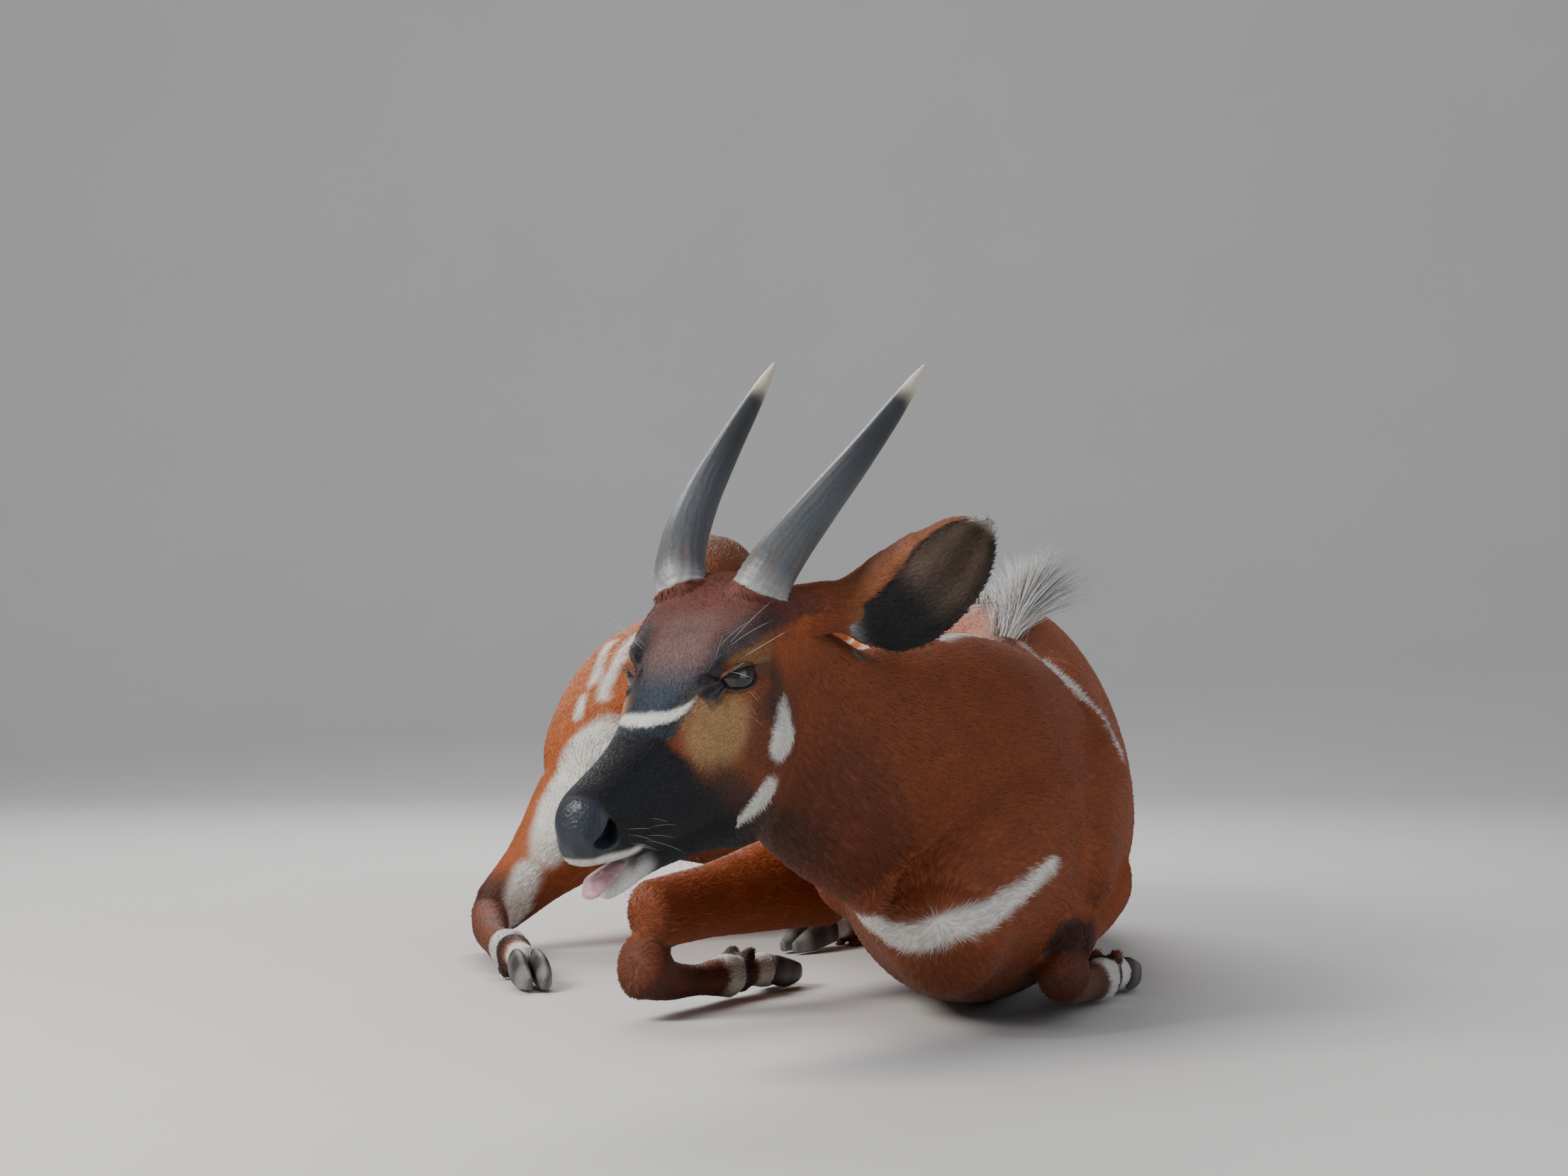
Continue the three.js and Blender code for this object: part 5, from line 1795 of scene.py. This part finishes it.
def build_eye(side, colours):
    """A dark eyeball with its raised cornea, an iris and a lying pupil."""
    points, corners = ball(BALL_RADIUS - 0.3, 72, 96)
    ahead, above, out = eye_axes(side)
    axes = np.stack([out, ahead, above], 1)
    if np.linalg.det(axes) < 0:
        corners = corners[:, ::-1]
    toward = points[:, 0] / BALL_RADIUS
    a, b = points[:, 1], points[:, 2]
    off = np.hypot(a / 1.12, b)
    cornea = 0.9 * (1 - fade(off, 6, 13)) * (toward > 0)
    points = points * (1 + cornea / BALL_RADIUS)[:, None]
    tint = plain(colours.eye_white, points)
    spokes = 0.5 + 0.5 * np.sin(np.arctan2(b, a) * 46 + 2 * np.sin(off))
    iris = np.asarray(colours.iris)[:3] * (0.75 + 0.5 * spokes[:, None] * fade(off, 6, 13)[:, None])
    tint = tint + ((1 - fade(off, *IRIS_EDGE)) * (toward > 0))[:, None] * (iris - tint)
    pupil = (1 - fade(np.abs(a), *PUPIL_ENDS)) * (1 - fade(np.abs(b), *PUPIL_SIDES))
    tint = paint(tint, colours.pupil, pupil * (toward > 0))
    name = f"eye_{SIDES[side]}"
    eye = new_mesh(f"{name}_ball", from_head(points @ axes.T + other_side(EYE_AT, side)), corners)
    shade_smooth(eye)
    store_tint(eye, tint)
    return eye, name


def build_tongue(colours):
    points, corners = form(TONGUE, sides=48, steps=12, round_end=0.8, grow=-0.3)
    _, y, z = points.T
    points[:, 2] -= 0.9 * bell(y, 1, 2.2) * (z > -79)
    tongue = new_mesh("tongue_shape", from_head(points), corners)
    shade_smooth(tongue)
    tint = plain(colours.tongue, points)
    tint = paint(tint, colours.nose, 0.25 + 0.2 * waver(points, 12, 2))
    store_tint(tongue, tint)
    return tongue


# Long hair


def strands(name, roots, starts, bends, lengths, halves, tints, uvs, rings=4):
    """One mesh of long closed hairs, each three-sided, curved and tapered to a point."""
    count = len(roots)
    shares = np.linspace(0, 1, rings + 1)
    points = []
    across = unit(np.cross(starts, bends) + 1e-6)
    for share in shares[:-1]:
        centre = roots + lengths[:, None] * (starts * share + bends * share**2)
        along = unit(starts + 2 * bends * share)
        flat = unit(np.cross(across, along))
        half = halves * (0.55 + 0.9 * share - 1.3 * share**2)
        for angle, squeeze in ((math.pi / 2, 0.5), (math.pi * 7 / 6, 1.0), (math.pi * 11 / 6, 1.0)):
            spot = across * math.cos(angle) + flat * math.sin(angle) * squeeze
            points.append(centre + half[:, None] * spot)
    tip = roots + lengths[:, None] * (starts + bends)
    points.append(tip)
    each = 3 * rings + 1
    points = np.stack(points, 1).reshape(-1, 3)
    corners = [(0, 2, 1)]
    for ring in range(rings - 1):
        for k in range(3):
            here, following = 3 * ring + k, 3 * ring + (k + 1) % 3
            corners += [(here, following, following + 3), (here, following + 3, here + 3)]
    last = 3 * (rings - 1)
    corners += [(last + k, last + (k + 1) % 3, each - 1) for k in range(3)]
    corners = (each * np.arange(count)[:, None, None] + np.array(corners)[None]).reshape(-1, 3)
    piece = new_mesh(name, points, corners)
    shade_smooth(piece)
    levels = np.append(np.repeat(np.arange(rings), 3), rings)
    tint = np.stack([tints[level] for level in levels], 1).reshape(-1, tints[0].shape[1])
    store_tint(piece, tint)
    patch_uv(piece, uvs, each)
    return piece


def nearest_of(skin, places):
    """The number of the skin's point nearest to each place of the animal."""
    points = points_of(skin)
    tree = KDTree(len(points))
    for number, point in enumerate(points):
        tree.insert(point, number)
    tree.balance()
    return [tree.find(place)[1] for place in places]


def nearest_uv(skin, places):
    """The places on the skin's unwrap under some places of the animal."""
    uv_of = np.zeros((len(skin.data.vertices), 2))
    uv_of[loop_points(skin)] = loop_uv(skin)
    return uv_of[nearest_of(skin, places)]


# Where the crest runs along the trunk, its plume's share of the hairs, and lengths
CREST = {
    "from": 0.372,
    "to": 0.92,
    "plume": 0.26,
    "plume_length": (74.0, 128.0),
    "lowest": 30.0,
    "highest": 62.0,
    "sunk": 8.0,
}


def crest_roots(share, across):
    """Places on the ridge of the back, with the ways along it, across it and up from it."""
    centre, along, side, top, size, _ = sections(TRUNK, share)
    drop = across**2 / (2 * size[:, 0])
    roots = centre + top * (size[:, 1] - 4 - CREST["sunk"] - drop)[:, None] + side * across[:, None]
    return roots, along, side, top


def build_crest(skin, colours, count):
    """A plume of long white and grey hair over the withers, and a low fringe along the back behind it."""
    random = np.random.default_rng(9)
    plume = int(count * CREST["plume"])
    share = CREST["from"] + 0.035 * random.random(plume) ** 1.4
    across = random.normal(0, 3.2, plume)
    roots = crest_roots(share, across)[0]
    spread = across / 5 + 0.6 * random.normal(0, 1, plume)
    draw = random.random(plume)
    starts = np.stack([0.42 + 0.01 * spread, 0.1 + 0.1 * random.random(plume), np.full(plume, 0.88)], 1)
    fan = 0.04 + 0.28 * spread + 0.07 * random.standard_normal(plume)
    sag = -0.32 * np.maximum(fan, 0) - 0.06 * draw
    bends = np.stack([fan, 0.1 * random.standard_normal(plume), sag], 1)
    length = random.uniform(*CREST["plume_length"], plume) * (1 - 0.22 * np.abs(spread).clip(0, 2) / 2)
    core = (np.abs(spread) < 0.3) & (draw > 0.75)
    root_colour = np.where(core[:, None], np.asarray(colours.crest_dark), np.asarray(colours.pale))
    tip_colour = np.where((draw < 0.6)[:, None], np.asarray(colours.pale), np.asarray(colours.crest_grey))

    low = count - plume
    order = np.sort(random.random(low)) ** 1.2
    low_roots, low_along, low_side, low_top = crest_roots(
        CREST["from"] + (CREST["to"] - CREST["from"]) * order, random.normal(0, 6, low)
    )
    lean = random.normal(0.1, 0.24, low)[:, None]
    low_starts = unit(low_top + low_side * lean + low_along * random.uniform(0.3, 0.8, low)[:, None])
    low_bends = low_along * random.uniform(0.2, 0.45, low)[:, None]
    low_length = CREST["lowest"] + (CREST["highest"] - CREST["lowest"]) * np.exp(-6 * order)
    low_length = low_length * random.uniform(0.6, 1.1, low) + CREST["sunk"]
    low_draw = random.random(low)
    low_root = np.where((low_draw < 0.6)[:, None], np.asarray(colours.ear), np.asarray(colours.crest_dark))
    low_tip = np.where((low_draw < 0.55)[:, None], np.asarray(colours.pale), np.asarray(colours.crest_dark))

    first = np.vstack([root_colour, low_root])
    last = np.vstack([tip_colour, low_tip])
    roots = np.vstack([roots, low_roots])
    return strands(
        "crest",
        roots,
        np.vstack([unit(starts), low_starts]),
        np.vstack([bends, low_bends]),
        np.concatenate([length, low_length]),
        np.concatenate([random.uniform(0.6, 1.15, plume), random.uniform(0.35, 0.6, low)]),
        [first, 0.5 * first + 0.5 * last, last, last, last],
        nearest_uv(skin, roots),
    )


# Lashes of each upper lid, and how far the whiskers of a group stray from its middle and its way
LASHES = 34
WHISKER_PLACES = 13
WHISKER_WAYS = 0.28
WHISKER_HALF = 0.22

# Where hairs of the face grow, the way they point, how many, how long and whether they are pale
WHISKERS = (
    ((88, 50, 34), (-0.62, 0.75, 0.12), 4, 62.0, True),
    ((108, 46, 30), (-0.3, 0.8, 0.4), 3, 32.0, True),
    ((96, 56, -24), (0.2, 0.9, -0.4), 4, 22.0, True),
    ((284, 30, -50), (-0.4, 0.9, -0.15), 4, 28.0, True),
    ((262, 34, -62), (-0.6, 0.8, -0.2), 4, 34.0, True),
    ((270, 32, -56), (-0.5, 0.8, -0.3), 14, 22.0, False),
    ((300, 20, -100), (0.1, 0.5, -0.9), 10, 20.0, True),
    ((196, 30, -122), (-0.4, 0.4, -0.85), 22, 26.0, False),
    ((150, 22, -140), (-0.5, 0.3, -0.8), 22, 28.0, False),
)


def build_whiskers(skin, colours):
    """Lashes of the upper lids, long hairs over the eyes and whiskers of the lips, chin and jaw."""
    random = np.random.default_rng(31)
    places, ways, lengths, pale = [], [], [], []
    for side in (1, -1):
        ahead, above, out = eye_axes(side)
        middle = other_side(EYE_AT, side)
        for turn in np.linspace(-0.85, 0.75, LASHES):
            rim = ahead * 20 * turn + above * LID["above"] * math.sqrt(1 - turn**2)
            places.append(middle + rim + out * 16)
            ways.append(out + 0.5 * above - 0.5 * ahead * (1 - turn) + 0.15 * random.standard_normal(3))
            lengths.append(random.uniform(9, 14))
            pale.append(False)
        for at, way, count, length, light in WHISKERS:
            for _ in range(count):
                places.append(other_side(np.array(at) + WHISKER_PLACES * random.uniform(-1, 1, 3), side))
                ways.append(other_side(np.array(way) + WHISKER_WAYS * random.standard_normal(3), side))
                lengths.append(length * random.uniform(0.6, 1.1))
                pale.append(light)
    nearest = nearest_of(skin, from_head(places))
    roots, normals = points_of(skin)[nearest], normals_of(skin)[nearest]
    starts = unit(unit(np.array(ways)) @ HEAD_AXES.T + 0.45 * normals)
    bends = np.tile((0.0, 0.0, -0.16), (len(roots), 1)) + 0.06 * random.standard_normal((len(roots), 3))
    tint = np.where(np.array(pale)[:, None], np.asarray(colours.pale), np.asarray(colours.rim))
    halves = np.full(len(roots), WHISKER_HALF)
    lengths = np.array(lengths)
    return strands("whiskers", roots, starts, bends, lengths, halves, [tint] * 5, nearest_uv(skin, roots))


def build_tail_tuft(skin, colours, count):
    """The long dark hair at the end of the tail, spread where it lies on the floor."""
    random = np.random.default_rng(5)
    stations = TAIL[4:]
    share = 0.45 + 0.55 * np.sqrt(random.random(count))
    centre, along, side, top, _, _ = sections(stations, share)
    angle = random.uniform(0, math.tau, count)
    spot = side * np.cos(angle)[:, None] + top * np.sin(angle)[:, None]
    roots = centre + spot * 5
    length = random.uniform(90, 142, count)
    starts = unit(along + 0.32 * side * (np.cos(angle) * random.random(count))[:, None] + spot * 0.06)
    starts[:, 2] = np.clip(starts[:, 2], -0.02, 0.09)
    bends = side * (np.cos(angle) * random.uniform(-0.05, 0.16, count))[:, None]
    fall = np.maximum(roots[:, 2] / length + starts[:, 2] - 0.03, 0)
    bends[:, 2] = -fall * random.uniform(0.6, 0.95, count)
    tint = np.tile(np.asarray(colours.muzzle), (count, 1)) * random.uniform(0.8, 1.5, count)[:, None]
    halves = random.uniform(0.8, 1.3, count)
    return strands("tail_tuft", roots, starts, bends, length, halves, [tint] * 5, nearest_uv(skin, roots))


# Studio

CAMERA = {"at": (0.0, -3500.0, 430.0), "lens": 73.97, "sensor": 36.0}


# Each light's place, size in metres, power and colour
LIGHTS = {
    "key": ((-2100, -1500, 2000), (1.3, 1.3), 88, (1, 0.97, 0.93)),
    "fill": ((2000, -1900, 1000), (1.8, 1.8), 15, (0.9, 0.95, 1)),
    "rim": ((-500, 2300, 2100), (2.0, 1.2), 52, (1, 1, 1)),
}
LIGHTS_AIM = (0, -150, 300)
SKY_COLOUR = (0.86, 0.9, 1.0, 1)
SKY_STRENGTH = 0.36

# The studio's paper: its width, its front edge, its flat length, its bend's radius and its height behind
# the bend, all in metres, and how light its darker clouds are
PAPER = {"wide": 16, "front": -5.0, "flat": 8.0, "bend": 2.0, "tall": 5.0, "clouds": 0.94}


def add_light(name, at, size, power, colour):
    place = to_frame(at)
    bpy.ops.object.light_add(type="AREA", location=place)
    lamp = bpy.context.object
    lamp.name = name
    lamp.data.shape = "RECTANGLE"
    lamp.data.size, lamp.data.size_y = size
    lamp.data.energy = power
    lamp.data.color = colour
    lamp.rotation_euler = Vector(to_frame(LIGHTS_AIM) - place).to_track_quat("-Z", "Y").to_euler()


def build_floor(looks):
    """A sheet of pale paper on the floor that bends up behind the animal."""
    bpy.ops.object.select_all(action="DESELECT")
    bpy.ops.mesh.primitive_grid_add(x_subdivisions=2, y_subdivisions=60, size=1)
    floor = bpy.context.object
    floor.name = "studio_floor"
    grid = read(floor.data.vertices, "co", 3).astype(float)
    along = grid[:, 1] + 0.5
    flat, bend, tall = PAPER["flat"], PAPER["bend"], PAPER["tall"]
    total = flat + bend * math.pi / 2 + tall
    way = along * total
    turn = np.clip((way - flat) / bend, 0, math.pi / 2)
    y = np.minimum(way, flat) + bend * np.sin(turn) + PAPER["front"]
    z = bend * (1 - np.cos(turn)) + np.maximum(way - flat - bend * math.pi / 2, 0)
    x = grid[:, 0] * PAPER["wide"]
    floor.data.vertices.foreach_set("co", np.stack([x, y, z], 1).astype(np.float32).ravel())
    floor.data.update()
    shade_smooth(floor)

    def build(nodes, links, shader):
        noise = add_noise(nodes, links, 3.0)
        first = tuple(looks.floor)
        second = tuple(PAPER["clouds"] * value for value in first[:3]) + (1,)
        links.new(mixed(nodes, links, noise.outputs["Fac"], first, second), shader.inputs["Base Color"])
        set_inputs(shader, Roughness=0.9)

    give(floor, material("studio_paper", build))


def build_stage(looks):
    """The floor, the lights and the camera."""
    build_floor(looks)
    world = bpy.context.scene.world or bpy.data.worlds.new("studio")
    bpy.context.scene.world = world
    world.use_nodes = True
    set_inputs(world.node_tree.nodes["Background"], Color=SKY_COLOUR, Strength=SKY_STRENGTH)

    for name, light in LIGHTS.items():
        add_light(name, *light)

    bpy.ops.object.camera_add(location=to_frame(CAMERA["at"]), rotation=(math.pi / 2, 0, 0))
    camera = bpy.context.object
    camera.data.sensor_width = CAMERA["sensor"]
    camera.data.lens = CAMERA["lens"]
    camera.data.clip_end = 60
    bpy.context.scene.camera = camera


# Add-on


def colour_property(name, place, colour):
    return bpy.props.FloatVectorProperty(
        name=name,
        description=f"Colour of {place}",
        subtype="COLOR",
        size=4,
        min=0,
        max=1,
        default=(*linear(*colour), 1.0),
    )


class BongoColours(bpy.types.PropertyGroup):
    """Colours of the coat's markings, its painted light and shade, horns, eyes and studio"""

    chestnut: colour_property("Chestnut", "most of the coat", (158, 78, 34))
    # Painted light: the chestnut of the haunch and the top of the rump where the sun falls on them
    bright: colour_property("Bright chestnut", "the brightest coat, on the haunch", (196, 112, 56))
    # Deep chestnut: also laid on as painted shade over the neck, chest, shoulders and lowest parts of the
    # body
    deep: colour_property("Deep chestnut", "the neck and the underside", (92, 44, 22))
    maroon: colour_property("Maroon", "the brow between the horns", (100, 50, 36))
    mauve: colour_property("Mauve", "the middle of the forehead", (112, 84, 80))
    slate: colour_property("Slate", "the forehead above the white chevron", (50, 60, 72))
    shadow: colour_property("Brow edge", "the dark edge of the forehead", (28, 33, 41))
    smoke: colour_property("Smoke", "the brown between the muzzle and the cheek", (62, 42, 30))
    # Also laid on as painted shade deep in the cup of each ear
    muzzle: colour_property("Muzzle", "the dark muzzle and the dark marks", (17, 18, 21))
    nose: colour_property("Nose", "the bare nose", (36, 43, 52))
    rim: colour_property("Eye rim", "the bare edge of the lids", (18, 16, 16))
    tan: colour_property("Tan", "the patch under the eye", (172, 132, 88))
    brow: colour_property("Brow", "the patch over the eye", (142, 112, 66))
    pale: colour_property("White", "the white markings", (226, 222, 214))
    ear: colour_property("Ear", "the back of the ear", (150, 88, 50))
    cup: colour_property("Ear cup", "the inside of the ear", (142, 118, 100))
    crest_dark: colour_property("Crest", "the dark hair of the crest", (92, 86, 88))
    crest_grey: colour_property("Crest tips", "the grey hair of the crest", (196, 198, 206))
    horn: colour_property("Horn", "the middle of the horns", (84, 88, 92))
    horn_pale: colour_property("Horn foot", "the foot of the horns", (178, 180, 178))
    horn_worn: colour_property("Horn rub", "the rubbed places of the horns", (112, 92, 82))
    horn_dark: colour_property("Horn dark", "the horns before their tips", (44, 46, 48))
    ivory: colour_property("Horn tip", "the tips of the horns", (214, 204, 184))
    hoof: colour_property("Hoof", "the hooves", (52, 46, 42))
    eye_white: colour_property("Eyeball", "the eyeball round the iris", (30, 24, 22))
    iris: colour_property("Iris", "the iris", (34, 24, 20))
    pupil: colour_property("Pupil", "the pupil", (8, 9, 12))
    tongue: colour_property("Tongue", "the tongue", (206, 160, 168))
    floor: colour_property("Studio", "the studio floor", (226, 224, 220))


def count_property(name, description, default):
    return bpy.props.IntProperty(
        name=name,
        description=description,
        min=100,
        max=49000,
        default=default,
    )


class BongoCoat(bpy.types.PropertyGroup):
    """How dense the coat is in each region"""

    face: count_property("Face", "Tufts on the face", 49000)
    ears: count_property("Ears", "Tufts on the ears", 30000)
    neck: count_property("Neck", "Tufts on the neck", 45000)
    front: count_property("Shoulders", "Tufts on the shoulders and chest", 45000)
    flank: count_property("Flanks", "Tufts on the flanks and belly", 45000)
    rump: count_property("Rump", "Tufts on the rump and tail", 29000)
    thigh: count_property("Right thigh", "Tufts on the right thigh", 30000)
    hind_legs: count_property("Hind legs", "Tufts on the other parts of the hind legs", 27000)
    forelegs: count_property("Forelegs", "Tufts on the forelegs", 32000)
    crest: count_property("Crest", "Hairs in the crest", 6000)
    tail_tuft: count_property("Tail tuft", "Hairs in the tail tuft", 2400)


def colours():
    return bpy.context.scene.bongo_colours


def coat():
    return bpy.context.scene.bongo_coat


def finish_piece(piece, made):
    give(piece, made)
    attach(piece, BODY)


def fewer(count):
    return count


class BONGO_OT_skin(bpy.types.Operator):
    """Builds the skin with its markings"""

    bl_idname = "bongo.skin"
    bl_label = "Skin"

    def execute(self, context):
        skin = build_skin()
        shade_smooth(skin)
        mark(skin, colours())
        unwrap(skin)
        apart = ("eye", "horn", "tongue", "hoof")
        flesh = [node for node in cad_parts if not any(word in node for word in apart)]
        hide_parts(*flesh)
        finish_piece(skin, skin_material("short_coat"))
        return {"FINISHED"}


# Each region's tufts: width as a share of their length, and how many degrees they stand off the skin
TUFT_SHAPES = {
    "face": (0.2, 9),
    "ears": (0.16, 12),
    "neck": (0.17, 10),
    "front": (0.18, 8),
    "flank": (0.18, 7.5),
    "rump": (0.18, 8),
    "thigh": (0.18, 7.5),
    "hind_legs": (0.18, 7),
    "forelegs": (0.18, 7),
}


class BONGO_OT_coat(bpy.types.Operator):
    """Grows the short coat over the skin"""

    bl_idname = "bongo.coat"
    bl_label = "Coat"

    def execute(self, context):
        skin = bpy.data.objects["skin"]
        made = fur_material("coat_tufts", 0.55, 0.06)
        for number, region in enumerate(REGIONS):
            roots = scatter(skin, number, fewer(getattr(coat(), region)), 20 + number)
            width, lift = TUFT_SHAPES[region]
            tufts = tuft_piece(f"coat_{region}", roots, width, lift)
            finish_piece(tufts, made)
        return {"FINISHED"}


class BONGO_OT_crest(bpy.types.Operator):
    """Grows the crest, the tuft of the tail, the lashes and the whiskers"""

    bl_idname = "bongo.crest"
    bl_label = "Long hair"

    def execute(self, context):
        skin = bpy.data.objects["skin"]
        made = fur_material("long_hair", 0.5, 0.05)
        for piece in (
            build_crest(skin, colours(), fewer(coat().crest)),
            build_tail_tuft(skin, colours(), fewer(coat().tail_tuft)),
            build_whiskers(skin, colours()),
        ):
            finish_piece(piece, made)
        return {"FINISHED"}


class BONGO_OT_eyes(bpy.types.Operator):
    """Builds the two eyes"""

    bl_idname = "bongo.eyes"
    bl_label = "Eyes"

    def execute(self, context):
        made = wet_material("eye_gloss", 0.2, (260, 0.03, 0.0005), Coat_Weight=0.5, Coat_Roughness=0.06)
        for side in (1, -1):
            eye, node = build_eye(side, colours())
            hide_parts(node)
            finish_piece(eye, made)
        return {"FINISHED"}


class BONGO_OT_horns(bpy.types.Operator):
    """Builds the two horns"""

    bl_idname = "bongo.horns"
    bl_label = "Horns"

    def execute(self, context):
        made = horn_material("horn_sheath", 0.42)
        for side, node in ((1, "horn_left"), (-1, "horn_right")):
            horn = build_horn(side, colours())
            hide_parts(node)
            finish_piece(horn, made)
        return {"FINISHED"}


class BONGO_OT_hooves(bpy.types.Operator):
    """Builds the eight claws of the hooves"""

    bl_idname = "bongo.hooves"
    bl_label = "Hooves"

    def execute(self, context):
        made = horn_material("hoof_horn", 0.5)
        for hoof, node in build_hooves(colours()):
            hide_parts(node)
            finish_piece(hoof, made)
        return {"FINISHED"}


class BONGO_OT_tongue(bpy.types.Operator):
    """Builds the tip of the tongue"""

    bl_idname = "bongo.tongue"
    bl_label = "Tongue"

    def execute(self, context):
        tongue = build_tongue(colours())
        depth = {"Subsurface_Weight": 0.15, "Subsurface_Scale": 0.003}
        made = wet_material("tongue_wet", 0.4, (900, 0.4, 0.0006), **depth)
        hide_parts("tongue")
        finish_piece(tongue, made)
        return {"FINISHED"}


class BONGO_OT_stage(bpy.types.Operator):
    """Sets up the studio floor, the lights and the camera"""

    bl_idname = "bongo.stage"
    bl_label = "Studio"

    def execute(self, context):
        build_stage(colours())
        return {"FINISHED"}


STEPS = (
    BONGO_OT_skin,
    BONGO_OT_coat,
    BONGO_OT_crest,
    BONGO_OT_eyes,
    BONGO_OT_horns,
    BONGO_OT_hooves,
    BONGO_OT_tongue,
    BONGO_OT_stage,
)


class BONGO_PT_panel(bpy.types.Panel):
    """Lists the steps that build the bongo"""

    bl_idname = "BONGO_PT_panel"
    bl_label = "Bongo"
    bl_space_type = "VIEW_3D"
    bl_region_type = "UI"
    bl_category = "Bongo"

    def draw(self, context):
        for step in STEPS:
            self.layout.operator(step.bl_idname)


CLASSES = (BongoColours, BongoCoat, *STEPS, BONGO_PT_panel)


def register():
    for kind in CLASSES:
        bpy.utils.register_class(kind)
    bpy.types.Scene.bongo_colours = bpy.props.PointerProperty(type=BongoColours)
    bpy.types.Scene.bongo_coat = bpy.props.PointerProperty(type=BongoCoat)


def unregister():
    del bpy.types.Scene.bongo_coat
    del bpy.types.Scene.bongo_colours
    for kind in reversed(CLASSES):
        bpy.utils.unregister_class(kind)


def main():
    register()
    bpy.ops.bongo.skin()
    bpy.ops.bongo.coat()
    bpy.ops.bongo.crest()
    bpy.ops.bongo.eyes()
    bpy.ops.bongo.horns()
    bpy.ops.bongo.hooves()
    bpy.ops.bongo.tongue()
    bpy.ops.bongo.stage()


if __name__ == "__main__":
    main()
